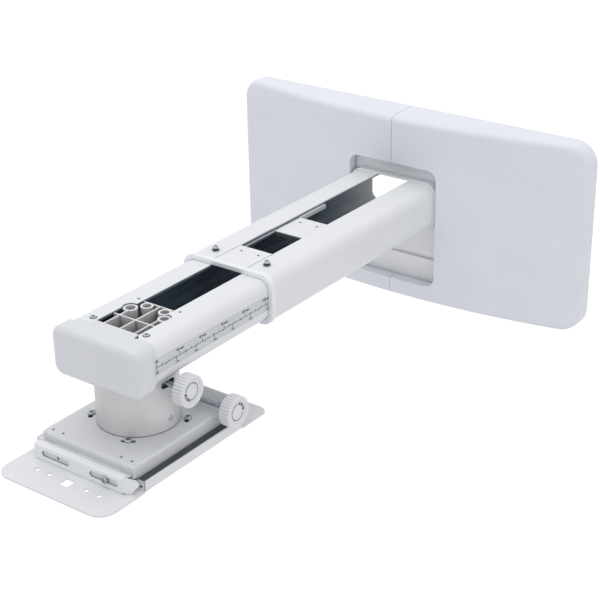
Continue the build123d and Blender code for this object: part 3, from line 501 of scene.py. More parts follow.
@dataclass(frozen=True)
class TurnedFinish(Finish):
    """Cast metal with turned lines and a cloudy sheen, a painted shadow line at the foot and
    painted shade inside.
    """

    line_scale: float = 900.0
    line_stretch: Point = (0.02, 0.02, 1.0)
    line_depth: float = 0.006 * MM
    cloud: float = 0.05
    cloud_scale: float = 34.0
    cloud_span: Spot = (0.32, 0.68)
    speck_scale: float = 700.0
    speck_span: Spot = (0.62, 0.78)
    speck_share: Spot = (0.0, 0.35)
    speck_tone: float = 0.78
    # Painted shadow: a dark line just above the foot, where the drum meets the tray.
    foot: float = 0.0
    foot_height: float = 0.7 * MM
    foot_shadow_tone: float = 0.12
    # Painted shade: faces within inside_radius of the middle, inside the drum, are darkened.
    middle: Point = NOWHERE
    inside_radius: float = 0.0
    inside_edge: Spot = (-0.1 * MM, 0.0)
    inside_shade_tone: float = 0.1

    def tone(self, graph: SurfaceGraph) -> Socket:
        """Gives a grey with clouds and fine specks, with a painted shadow line at the foot and
        painted shade inside.
        """
        clouds = graph.spread(graph.noise(self.cloud_scale, 6.0), self.cloud_span)
        low, high = (shade(self.colour, 1 + side * self.cloud) for side in SIDES)
        grains = graph.noise(self.speck_scale, 3.0)
        specks = graph.spread(grains, self.speck_span, self.speck_share)
        skin = graph.mix(specks, graph.mix(clouds, low, high), shade(self.colour, self.speck_tone))
        # Painted shadow line at the foot.
        span = (self.foot + 0.6 * self.foot_height, self.foot + 1.4 * self.foot_height)
        above = graph.spread(graph.axis(2), span)
        outside = graph.mix(above, shade(self.colour, self.foot_shadow_tone), skin)
        # Painted shade inside the drum.
        reach = graph.vector("LENGTH", graph.offset(self.middle, (1.0, 1.0, 0.0)))
        share = graph.step(reach, self.inside_radius, self.inside_edge)
        return graph.mix(share, shade(self.colour, self.inside_shade_tone), outside)

    def relief(self, graph: SurfaceGraph) -> None:
        """Adds turned lines round the drum and the cast skin's grain."""
        graph.bump(graph.noise(self.line_scale, 2.0, self.line_stretch), self.line_depth)
        super().relief(graph)


@dataclass(frozen=True)
class PlatedFinish(Finish):
    """Zinc plating, bluish, with cloudy colour and fine scratches."""

    tint: Colour = (0.42, 0.47, 0.52)
    cloud_scale: float = 260.0
    cloud_span: Spot = (0.35, 0.65)
    cloud_share: Spot = (0.0, 0.7)
    scratch_scale: float = 1800.0
    scratch_stretch: Point = (1.0, 0.08, 0.6)

    def tone(self, graph: SurfaceGraph) -> Socket:
        """Gives the plating's grey with bluish and warmer clouds."""
        noise = graph.noise(self.cloud_scale, 4.0)
        clouds = graph.spread(noise, self.cloud_span, self.cloud_share)
        return graph.mix(clouds, super().tone(graph), shade(self.tint))

    def relief(self, graph: SurfaceGraph) -> None:
        """Adds fine scratches that run across the piece."""
        scratches = graph.noise(self.scratch_scale, 3.0, self.scratch_stretch)
        graph.bump(scratches, self.grain_depth)


@dataclass(frozen=True)
class DrawnFinish(Finish):
    """Extruded plastic with draw lines along the arm, and a pale plug in its front end."""

    plug_to: float = -1.0
    plug: Colour = (0.74, 0.75, 0.78)
    plug_edge: Spot = (0.0, 0.1 * MM)
    line_scale: float = 1600.0
    line_stretch: Point = (1.0, 0.01, 1.0)

    def tone(self, graph: SurfaceGraph) -> Socket:
        """Gives the plastic's colour, and the plug's at the front end."""
        share = graph.step(graph.axis(1), self.plug_to, self.plug_edge)
        return graph.mix(share, shade(self.plug), super().tone(graph))

    def relief(self, graph: SurfaceGraph) -> None:
        """Adds draw lines along Y."""
        lines = graph.noise(self.line_scale, 3.0, self.line_stretch)
        graph.bump(lines, 2 * self.grain_depth)


COAT: Colour = (0.790, 0.803, 0.832)
MOULDED: Colour = (0.772, 0.797, 0.866)


@dataclass
class FinishBook:
    """The finishes that pieces share, each made once."""

    cover: Finish = Finish(
        "cover_moulded_white", MOULDED, roughness=0.5, grain_scale=2200.0,
        grain_depth=0.02 * MM, edge_radius=0.3 * MM,
    )
    coat: Finish = Finish("powder_coat_white", COAT, roughness=0.42, tone_spread=0.015)
    # Painted light: the tray's rear flange, from flange_from towards the wall, is painted paler.
    tray: Finish = FlangedFinish(
        "powder_coat_silky", (0.690, 0.705, 0.735), roughness=0.36, edge_radius=0.3 * MM,
        tone_spread=0.01, grain_scale=450.0, grain_depth=0.004 * MM, flange_from=-384.5 * MM,
    )
    plate: Finish = Finish(
        "powder_coat_plate", (0.765, 0.778, 0.806), roughness=0.4, edge_radius=0.3 * MM
    )
    # Painted light: a lighter copy of the white coat, so that parts in the cover's shade look lit.
    bracket: Finish = Finish("powder_coat_inner_lightened", (0.850, 0.860, 0.880), roughness=0.5)
    cap: Finish = Finish(
        "end_cap_gloss", (0.708, 0.726, 0.774), roughness=0.34, coat=0.1, tone_scale=12.0,
        tone_spread=0.012, grain_scale=2500.0, grain_depth=0.002 * MM, edge_radius=0.3 * MM,
    )
    collar: Finish = Finish(
        "collar_moulded", (0.850, 0.868, 0.920), roughness=0.38, edge_radius=0.5 * MM
    )
    pad: Finish = DrawnFinish(
        "glide_pad_pale", (0.74, 0.75, 0.78), roughness=0.4, tone_spread=0.04
    )
    film: Finish = Finish(
        "scale_film_pale", (0.625, 0.643, 0.690), roughness=0.35, edge_radius=0.0
    )
    ink: Finish = Finish(
        "print_ink", (0.050, 0.055, 0.070), roughness=0.5, tone_spread=0.15, edge_radius=0.0
    )
    # Painted shade: dark strips, crosses, rings, arcs and a triangle stand for the shade in seams,
    # screw recesses, slots and gaps.
    gap: Finish = Finish(
        "gap_shadow", (0.050, 0.054, 0.060), roughness=0.8, tone_spread=0.15, edge_radius=0.0
    )
    # The knob, zinc and rod finishes darken their crevices with painted shade.
    knob: Finish = Finish(
        "knob_moulded", (0.775, 0.787, 0.822), roughness=0.42, tone_scale=90.0,
        edge_radius=0.15 * MM, crevice_depth=1.2 * MM, crevice_tone=0.55,
    )
    zinc: Finish = PlatedFinish(
        "zinc_plated", (0.46, 0.50, 0.53), roughness=0.28, metallic=0.85, tone_spread=0.1,
        crevice_depth=0.9 * MM, crevice_tone=0.25,
    )
    rod: Finish = PlatedFinish(
        "rod_plated", (0.25, 0.29, 0.33), roughness=0.3, metallic=0.85, tone_spread=0.1,
        crevice_depth=1.6 * MM, crevice_tone=0.2,
    )
    steel: Finish = PlatedFinish(
        "spring_washer_steel", (0.07, 0.08, 0.09), roughness=0.35, metallic=0.6,
        tint=(0.11, 0.13, 0.15),
    )
    made: dict[str, bpy.types.Material] = field(default_factory=dict)

    def material(self, finish: Finish) -> bpy.types.Material:
        """Gives the material of a finish, made at its first use.

        Args:
            finish: The finish.

        Returns:
            The material.
        """
        if finish.name not in self.made:
            self.made[finish.name] = finish.build()
        return self.made[finish.name]

    def dress(self, finish: Finish, *nodes: str) -> None:
        """Gives nodes of the frame their material.

        Args:
            finish: The finish.
            nodes: Names of the nodes.
        """
        for node in nodes:
            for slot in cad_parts[node].material_slots:
                slot.material = self.material(finish)
            log.info("%s: %s", node, finish.name)


def at(x: float, y: float, z: float) -> Matrix:
    """Gives a level plane at a place."""
    return Matrix.Translation((x, y, z))


def facing_right(origin: Point) -> Matrix:
    """Gives an upright plane that faces +X, with X along the arm to the wall and Y up."""
    turned = Matrix(((0, 0, 1, 0), (1, 0, 0, 0), (0, 1, 0, 0), (0, 0, 0, 1)))
    return Matrix.Translation(origin) @ turned


def polar(radius: float, angle: float) -> Spot:
    """Gives the spot at a distance and an angle in radians."""
    return (radius * math.cos(angle), radius * math.sin(angle))


def circle(radius: float, count: int) -> list[Spot]:
    """Lists the corners of a circle, counter-clockwise."""
    return [polar(radius, 2 * math.pi * step / count) for step in range(count)]


def centre_of(node: str) -> Vector:
    """Gives the middle of a node's box."""
    low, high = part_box(node)
    return (low + high) / 2


def weigh_normals(piece: bpy.types.Object) -> None:
    """Keeps a piece's flat faces flat beside its rounded edges."""
    weigh = piece.modifiers.new("flat_faces", "WEIGHTED_NORMAL")
    weigh.keep_sharp = True


@dataclass
class MeshDraft:
    """Vertices and faces of a piece while it is made."""

    points: list[Point] = field(default_factory=list)
    faces: list[tuple[int, ...]] = field(default_factory=list)
    arc_step: float = 6.0
    text_weight: float = 0.05

    def add(self, points: list[Point], faces: list[tuple[int, ...]]) -> None:
        """Adds points and the faces between them.

        Args:
            points: New points.
            faces: Faces that count from the first new point.
        """
        start = len(self.points)
        self.points.extend(points)
        self.faces.extend(tuple(start + corner for corner in face) for face in faces)

    def turn(self, rings: list[list[Point]], tips: tuple[Point, Point] | None = None) -> None:
        """Joins closed rings of equal count into one closed surface.

        Args:
            rings: Rings of points from one end to the other.
            tips: Points that close the first and the last ring, or None to close them flat.
        """
        count = len(rings[0])
        points = [point for ring in rings for point in ring]
        top = (len(rings) - 1) * count
        faces = []
        for low in range(0, top, count):
            for place in range(count):
                after = (place + 1) % count
                high = low + count
                faces.append((low + place, low + after, high + after, high + place))
        if tips:
            points += tips
            for place in range(count):
                after = (place + 1) % count
                faces.append((len(points) - 2, after, place))
                faces.append((len(points) - 1, top + place, top + after))
        else:
            faces.append(tuple(reversed(range(count))))
            faces.append(tuple(top + place for place in range(count)))
        self.add(points, faces)

    def slab(self, outline: list[Spot], plane: Matrix, thickness: float) -> None:
        """Adds a flat closed slab.

        Args:
            outline: Corners in the plane, counter-clockwise.
            plane: Matrix whose X and Y lie in the plane.
            thickness: Thickness along the plane's Z.
        """
        self.turn([
            [tuple(plane @ Vector((x, y, height))) for x, y in outline]
            for height in (0.0, thickness)
        ])

    def bar(self, centre: Spot, size: Spot, plane: Matrix, thickness: float,
            turn: float = 0.0) -> None:
        """Adds a flat bar.

        Args:
            centre: Centre in the plane.
            size: Length along the bar's X and Y.
            plane: Matrix whose X and Y lie in the plane.
            thickness: Thickness along the plane's Z.
            turn: Angle of the bar in radians.
        """
        corners = []
        for side_x, side_y in ((-1, -1), (1, -1), (1, 1), (-1, 1)):
            spot = Vector((side_x * size[0] / 2, side_y * size[1] / 2))
            spot.rotate(Matrix.Rotation(turn, 2))
            corners.append((centre[0] + spot.x, centre[1] + spot.y))
        self.slab(corners, plane, thickness)

    def arc(self, radius: float, width: float, ends: Spot, plane: Matrix,
            thickness: float) -> None:
        """Adds a flat arc round the plane's origin.

        Args:
            radius: Radius of the arc's middle line.
            width: Width of the arc.
            ends: First and last angle in radians.
            plane: Matrix whose X and Y lie in the plane.
            thickness: Thickness along the plane's Z.
        """
        start, end = ends
        steps = max(2, round(abs(end - start) / math.radians(self.arc_step)))
        angles = [start + (end - start) * step / steps for step in range(steps + 1)]
        outer = [polar(radius + width / 2, angle) for angle in angles]
        inner = [polar(radius - width / 2, angle) for angle in angles]
        self.slab(outer + inner[::-1], plane, thickness)

    def text(self, words: str, height: float, centre: Spot, plane: Matrix,
             thickness: float) -> None:
        """Adds plain numbers as flat closed shapes.

        Args:
            words: The numbers.
            height: Height of the letters.
            centre: Centre in the plane.
            plane: Matrix whose X and Y lie in the plane.
            thickness: Thickness along the plane's Z.
        """
        curve = bpy.data.curves.new("numbers", "FONT")
        curve.body = words
        curve.size = height
        curve.extrude = thickness / 2
        curve.offset = self.text_weight * height
        curve.resolution_u = 3
        curve.align_x, curve.align_y = "CENTER", "CENTER"
        holder = bpy.data.objects.new("numbers", curve)
        mesh = bpy.data.meshes.new_from_object(holder)
        place = plane @ at(*centre, thickness / 2)
        points = [tuple(place @ vertex.co) for vertex in mesh.vertices]
        self.add(points, [tuple(face.vertices) for face in mesh.polygons])
        bpy.data.objects.remove(holder)
        bpy.data.curves.remove(curve)
        bpy.data.meshes.remove(mesh)

    def piece(self, name: str, material: bpy.types.Material, body: Body, slot: Slot,
              sharp: float = 40.0) -> bpy.types.Object:
        """Makes the object and sets it on its body.

        Args:
            name: Name of the piece.
            material: Its material.
            body: Body that it rides on.
            slot: Slot of the record; not used.
            sharp: Angle in degrees from which an edge stays sharp.

        Returns:
            The object.
        """
        mesh = bpy.data.meshes.new(name)
        mesh.from_pydata(self.points, [], self.faces)
        mesh.validate()
        mesh.materials.append(material)
        mesh.shade_smooth()
        mesh.set_sharp_from_angle(angle=math.radians(sharp))
        made = bpy.data.objects.new(name, mesh)
        bpy.context.scene.collection.objects.link(made)
        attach(made, body.value)
        log.info("%s: %d faces on %s", name, len(mesh.polygons), body.value)
        return made


@dataclass
class WallSide:
    """Wall plate, cover, carriage and its fasteners."""

    book: FinishBook

    def dress(self) -> None:
        """Gives each node its finish."""
        self.book.dress(self.book.cover, "cover_left", "cover_right")
        self.book.dress(self.book.bracket, "wall_plate", "carriage_clamp")
        self.book.dress(self.book.coat, "carriage")
        self.book.dress(self.book.zinc, "carriage_bolts", "carriage_nuts")


@dataclass
class Arm:
    """Outer and inner arm with their bridges, collar, glides, insert and lock screws."""

    book: FinishBook
    outer_corner: float = 12.0 * MM
    outer_coated: float = 1.1 * MM
    inner_corner: float = 10.0 * MM
    inner_coated: float = 0.5 * MM
    # Span along Y over which painted light lightens the arms' insides towards the rear opening.
    rear_light_span: Spot = (-110.0 * MM, -27.5 * MM)
    seam_place: float = 19.5 * MM
    seam_width: float = 0.55 * MM
    seam_height: float = 0.03 * MM
    screw_inset: float = 2.8 * MM
    washer_rise: float = 0.8 * MM
    washer_radius: float = 3.8 * MM
    washer_notch: float = 0.84
    washer_teeth: int = 12
    washer_thickness: float = 0.5 * MM
    spring_radius: float = 2.35 * MM
    spring_height: float = 0.8 * MM
    spring_steps: int = 24

    def channel(self, node: str, corner: float, coated: float) -> ChannelFinish:
        """Works out a channel's finish from its box.

        Args:
            node: Name of the channel's node.
            corner: Radius of its outer corners.
            coated: Depth from the outside down to which cut edges are coated.

        Returns:
            The finish.
        """
        low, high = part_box(node)
        return ChannelFinish(
            f"powder_coat_{node}", COAT, roughness=0.42, tone_spread=0.015,
            half_width=(high.x - low.x) / 2, half_depth=(high.z - low.z) / 2,
            centre_height=(high.z + low.z) / 2, corner=corner, coated_depth=coated,
            rear_light_span=self.rear_light_span,
        )

    def seams(self) -> None:
        """Makes dark strips of painted shade in the thin open seams along both sides of the near
        bridge.
        """
        low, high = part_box("near_bridge")
        plane = at(0.0, (low.y + high.y) / 2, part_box("outer_arm")[1].z)
        draft = MeshDraft()
        for side in SIDES:
            size = (self.seam_width, high.y - low.y)
            draft.bar((side * self.seam_place, 0.0), size, plane, self.seam_height)
        draft.piece("bridge_seam_shades", self.book.material(self.book.gap), Body.CARRIAGE, Slot.COAT)

    def washers(self) -> None:
        """Makes a toothed washer and a spring washer under each lock screw's head."""
        low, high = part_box("lock_screws")
        reach = (high.x - low.x) / 2 - self.screw_inset
        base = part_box("outer_arm")[1].z + self.washer_rise
        edge = []
        for tooth in range(2 * self.washer_teeth):
            radius = self.washer_radius * (1.0 if tooth % 2 else self.washer_notch)
            edge.append(polar(radius, math.pi * tooth / self.washer_teeth))
        draft = MeshDraft()
        for side in SIDES:
            plane = at(side * reach, (low.y + high.y) / 2, base)
            raised = plane @ at(0.0, 0.0, self.washer_thickness)
            draft.slab(edge, plane, self.washer_thickness)
            spring = circle(self.spring_radius, self.spring_steps)
            draft.slab(spring, raised, self.spring_height)
        steel = self.book.material(self.book.steel)
        draft.piece("lock_washers", steel, Body.CARRIAGE, Slot.ZINC, 30.0)

    def dress(self) -> None:
        """Gives each node its finish and adds the small pieces."""
        book = self.book
        book.dress(self.channel("outer_arm", self.outer_corner, self.outer_coated), "outer_arm")
        book.dress(self.channel("inner_arm", self.inner_corner, self.inner_coated), "inner_arm")
        for node in ("near_bridge", "far_bridge"):
            sheet = SheetFinish(
                f"powder_coat_{node}", COAT, roughness=0.42, tone_spread=0.015,
                top=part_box(node)[1].z,
            )
            book.dress(sheet, node)
        low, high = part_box("grid_insert")
        # The grid's finish paints shade into its cells and crevices, and a highlight on its rims.
        grid = RibbedFinish(
            "insert_moulded_grey", (0.56, 0.56, 0.575), roughness=0.55, tone_spread=0.05,
            tone_scale=140.0, top=high.z, depth=high.z - low.z, crevice_depth=6.0 * MM,
            crevice_tone=0.4,
        )
        book.dress(grid, "grid_insert")
        book.dress(book.zinc, "lock_screws", "cap_screws", "yoke_screws")
        book.dress(book.collar, "arm_collar")
        book.dress(book.pad, "arm_glides")
        book.dress(book.cap, "end_cap")
        book.dress(book.film, "ruler_label")
        book.dress(book.bracket, "tilt_yoke")
        self.seams()
        self.washers()


@dataclass
class ScrewRecesses:
    """Painted shade: dark crosses for the recesses in the heads that point up, dark rings round the
    cap's screws, and dark shadows in the slots beside the yaw screws.
    """

    book: FinishBook
    cap_places: tuple[Spot, ...] = ((-31.0 * MM, -465.4 * MM), (31.0 * MM, -465.4 * MM))
    lock_places: tuple[Spot, ...] = ((-30.8 * MM, -298.0 * MM), (30.8 * MM, -298.0 * MM))
    yaw_radius: float = 44.0 * MM
    yaw_start: float = 29.5
    slot_width: float = 4.6 * MM
    slot_reach: float = 15.5
    cross: Spot = (2.9 * MM, 0.75 * MM)
    cap_turn: float = 25.0
    lock_turn: float = 10.0
    yaw_turn: float = 40.0
    lift: float = 0.02 * MM
    ring_rise: float = 0.01 * MM
    shadow_rise: float = 0.02 * MM
    head_radius: float = 2.8 * MM
    ring_width: float = 0.6 * MM

    def crosses(self, node: str, places: tuple[Spot, ...] | list[Spot], body: Body,
                turn: float) -> None:
        """Makes one dark cross of painted shade on each head, for its recess.

        Args:
            node: Node of the screws, whose top is the heads' top.
            places: Where the screws stand.
            body: Body that they ride on.
            turn: Angle of the crosses in degrees.
        """
        draft = MeshDraft()
        for place in places:
            plane = at(*place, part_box(node)[1].z)
            for extra in (0, 90):
                draft.bar((0.0, 0.0), self.cross, plane, self.lift, math.radians(turn + extra))
        name = node.replace("screws", "screw_recess_shades")
        draft.piece(name, self.book.material(self.book.gap), body, Slot.ZINC)

    def cap_seats(self) -> None:
        """Makes a dark ring of painted shade round each of the cap's screws."""
        draft = MeshDraft()
        for place in self.cap_places:
            plane = at(*place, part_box("inner_arm")[1].z + self.ring_rise)
            radius = self.head_radius + self.ring_width / 2
            for start in (0.0, math.pi):
                draft.arc(radius, self.ring_width, (start, start + math.pi), plane, self.lift)
        draft.piece("cap_screw_seat_shades", self.book.material(self.book.gap), Body.ARM, Slot.ZINC)

    def slot_shadows(self) -> None:
        """Makes dark arcs of painted shadow in the curved slots that show beside the yaw screws."""
        centre = centre_of("drum")
        plane = at(centre.x, centre.y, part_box("yaw_ring")[1].z + self.shadow_rise)
        draft = MeshDraft()
        for quarter in range(4):
            middle = self.yaw_start + 90 * quarter
            ends = tuple(math.radians(middle + side * self.slot_reach) for side in SIDES)
            draft.arc(self.yaw_radius, self.slot_width, ends, plane, self.lift)
        draft.piece("yaw_slot_shadows", self.book.material(self.book.gap), Body.DRUM, Slot.ZINC)

    def build(self) -> None:
        """Makes the crosses, rings and slot shadows, all painted shade."""
        middle = centre_of("drum").y
        yaw = []
        for quarter in range(4):
            x, y = polar(self.yaw_radius, math.radians(self.yaw_start + 90 * quarter))
            yaw.append((x, middle + y))
        self.crosses("cap_screws", self.cap_places, Body.ARM, self.cap_turn)
        self.crosses("lock_screws", self.lock_places, Body.CARRIAGE, self.lock_turn)
        self.crosses("yaw_screws", yaw, Body.DRUM, self.yaw_turn)
        self.cap_seats()
        self.slot_shadows()


@dataclass
class EndCap:
    """End cap with soft edges, a shoulder flush with the arm, and a tongue in the arm's slot."""

    book: FinishBook
    half_width: float = 51.5 * MM
    top_rise: float = 1.3 * MM
    low_rise: float = 1.0 * MM
    side_round: float = 11.0 * MM
    edge_side: float = 9.0 * MM
    edge_top: float = 7.0 * MM
    edge_depth: float = 6.5 * MM
    lip_round: float = 0.4 * MM
    body_rear: float = -480.4 * MM
    shoulder_rear: float = -474.0 * MM
    shoulder_half: float = 48.6 * MM
    shoulder_top: float = 29.95 * MM
    wall: float = 2.5 * MM
    hollow_front: float = 3.75 * MM
    tongue_half: float = 24.7 * MM
    tongue_rear: float = -468.0 * MM
    tongue_rise: float = 0.02 * MM
    drum_gap: float = 4.5 * MM
    cut_drop: float = 2.0 * MM
    cut_height: float = 9.0 * MM
    cut_steps: int = 72
    arc_steps: int = 8
    # Painted shade: corners of a thin dark triangle laid in the notch at the shoulder.
    notch: tuple[Spot, ...] = (
        (26.3 * MM, -475.6 * MM), (29.8 * MM, -474.1 * MM), (25.3 * MM, -469.0 * MM)
    )
    notch_rise: float = 0.01 * MM
    notch_thickness: float = 0.04 * MM

    def ring(self, half: float, low: float, high: float, radius: float,
             place: float) -> list[Point]:
        """Lists a rounded rectangle across the arm.

        Args:
            half: Half of its width.
            low: Lowest height.
            high: Highest height.
            radius: Radius of its corners.
            place: Where it stands along Y.

        Returns:
            Its points, counter-clockwise seen from the front.
        """
        points = []
        for side, height, start in ((1, high, 0), (-1, high, 90), (-1, low, 180), (1, low, 270)):
            centre_x = side * (half - radius)
            centre_z = height - radius if height == high else height + radius
            for step in range(self.arc_steps + 1):
                x, z = polar(radius, math.radians(start + 90 * step / self.arc_steps))
                points.append((centre_x + x, place, centre_z + z))
        return points

    def rings(self) -> list[list[Point]]:
        """Lists the cap's rings: its hollow from the front back, then its outside to the front.

        Returns:
            The rings.
        """
        low_box, high_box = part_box("end_cap")
        low, high, front = low_box.z + self.low_rise, high_box.z + self.top_rise, low_box.y
        wall, lip, rounding = self.wall, self.lip_round, self.side_round
        inner = (
            self.shoulder_half - wall, low + wall, self.shoulder_top - wall, rounding - wall
        )
        foot = low + (high - self.shoulder_top)
        shoulder = (self.shoulder_half, foot, self.shoulder_top, rounding)
        rings = [
            self.ring(*inner, front + self.hollow_front),
            self.ring(*inner, self.shoulder_rear),
            self.ring(*shoulder, self.shoulder_rear),
            self.ring(*shoulder, self.body_rear),
            self.ring(self.half_width - lip, low + lip, high - lip, rounding, self.body_rear),
            self.ring(self.half_width, low, high, rounding, self.body_rear - lip),
        ]
        for step in range(self.arc_steps + 1):
            angle = math.radians(90 * step / self.arc_steps)
            inset = 1 - math.cos(angle)
            side, rise = self.edge_side * inset, self.edge_top * inset
            place = front + self.edge_depth * (1 - math.sin(angle))
            rings.append(
                self.ring(self.half_width - side, low + rise, high - rise, rounding - side, place)
            )
        return rings

    def clear_drum(self, cap: bpy.types.Object) -> None:
        """Cuts the cap's lower side free of the drum.

        Args:
            cap: The cap.
        """
        low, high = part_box("drum")
        radius = (high.y - low.y) / 2 + self.drum_gap
        centre = (low + high) / 2
        base = at(centre.x, centre.y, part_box("end_cap")[0].z - self.cut_drop)
        draft = MeshDraft()
        draft.slab(circle(radius, self.cut_steps), base, self.cut_height)
        mesh = bpy.data.meshes.new("drum_clearance")
        mesh.from_pydata(draft.points, [], draft.faces)
        cutter = bpy.data.objects.new("drum_clearance", mesh)
        bpy.context.scene.collection.objects.link(cutter)
        cut = cap.modifiers.new("drum_clearance", "BOOLEAN")
        cut.operation, cut.solver, cut.object = "DIFFERENCE", "EXACT", cutter
        depsgraph = bpy.context.evaluated_depsgraph_get()
        made = bpy.data.meshes.new_from_object(cap.evaluated_get(depsgraph))
        cap.modifiers.clear()
        cap.data = made
        bpy.data.objects.remove(cutter)

    def build(self) -> None:
        """Makes the cap in place of its plain node, its tongue, and a dark triangle of painted
        shade in the notch beside it.
        """
        gloss = self.book.material(self.book.cap)
        draft = MeshDraft()
        draft.turn(self.rings())
        cap = draft.piece("end_cap_soft", gloss, Body.ARM, Slot.CAP, 35.0)
        self.clear_drum(cap)
        weigh_normals(cap)
        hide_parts("end_cap")
        tongue = MeshDraft()
        start = self.shoulder_rear - self.lip_round
        height = self.shoulder_top - self.wall + self.tongue_rise
        plane = at(0.0, (start + self.tongue_rear) / 2, height)
        size = (2 * self.tongue_half, self.tongue_rear - start)
        tongue.bar((0.0, 0.0), size, plane, self.wall)
        tongue.piece("end_cap_tongue", gloss, Body.ARM, Slot.CAP, 35.0)
        notch = MeshDraft()
        level = at(0.0, 0.0, self.shoulder_top + self.notch_rise)
        notch.slab(list(self.notch), level, self.notch_thickness)
        notch.piece("end_cap_notch_shade", self.book.material(self.book.gap), Body.ARM, Slot.CAP, 35.0)


@dataclass
class LengthScale:
    """Start of the length scale's film and its print: a line, two sets of marks and numbers."""

    book: FinishBook
    print_depth: float = 0.03 * MM
    film_start: float = -480.2 * MM
    film_thickness: float = 0.25 * MM
    first_mark: float = 6.0 * MM
    line_rise: float = -0.6 * MM
    line_width: float = 0.55 * MM
    upper_step: float = 30.0 * MM
    upper_parts: int = 4
    lower_step: float = 25.4 * MM
    lower_parts: int = 2
    mark_width: float = 0.7 * MM
    long_mark: float = 3.4 * MM
    short_mark: float = 1.7 * MM
    upper_height: float = 3.3 * MM
    lower_height: float = 3.1 * MM
    upper_rise: float = 4.9 * MM
    lower_rise: float = -5.6 * MM
    number_shift: float = 0.6 * MM

    def plane(self) -> Matrix:
        """Gives the label's face, from the first mark on."""
        low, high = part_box("ruler_label")
        return facing_right((high.x, self.film_start + self.first_mark, (low.z + high.z) / 2))

    def marks(self, draft: MeshDraft, step: float, parts: int, side: int,
              length: float) -> None:
        """Adds the marks of one unit along one side of the line.

        Args:
            draft: Mesh to add to.
            step: Distance between long marks.
            parts: Short steps in one long one.
            side: 1 above the line and -1 below it.
            length: Length of the label that is left.
        """
        for count in range(int(length / step * parts) + 1):
            reach = self.long_mark if count % parts == 0 else self.short_mark
            spot = (count * step / parts, self.line_rise + side * reach / 2)
            draft.bar(spot, (self.mark_width, reach), self.plane(), self.print_depth)

    def numbers(self, draft: MeshDraft, step: float, unit: tuple[int, str], height: float,
                rise: float, length: float) -> None:
        """Adds the numbers of one unit.

        Args:
            draft: Mesh to add to.
            step: Distance between numbers.
            unit: How much each step counts, and the unit's sign.
            height: Height of the numbers.
            rise: How far above the middle they stand.
            length: Length of the label that is left.
        """
        for count in range(int(length / step) + 1):
            words = f"{unit[0] * count} {unit[1]}" if count else "00"
            spot = (count * step + self.number_shift, rise)
            draft.text(words, height, spot, self.plane(), self.print_depth)

    def build(self) -> None:
        """Makes the film's start and the print."""
        low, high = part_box("ruler_label")
        film = MeshDraft()
        centre = (high.x - self.film_thickness / 2, (self.film_start + low.y) / 2)
        size = (self.film_thickness, low.y - self.film_start)
        film.bar(centre, size, at(0.0, 0.0, low.z), high.z - low.z)
        film.piece("scale_film_start", self.book.material(self.book.film), Body.ARM, Slot.FILM)
        length = high.y - self.film_start - 2 * self.first_mark
        draft = MeshDraft()
        line = (length / 2, self.line_rise)
        draft.bar(line, (length, self.line_width), self.plane(), self.print_depth)
        self.marks(draft, self.upper_step, self.upper_parts, 1, length)
        self.marks(draft, self.lower_step, self.lower_parts, -1, length)
        upper = (self.upper_height, self.upper_rise, length)
        lower = (self.lower_height, self.lower_rise, length)
        self.numbers(draft, self.upper_step, (30, "mm"), *upper)
        self.numbers(draft, self.lower_step, (1, "in"), *lower)
        draft.piece("scale_print", self.book.material(self.book.ink), Body.ARM, Slot.FILM)


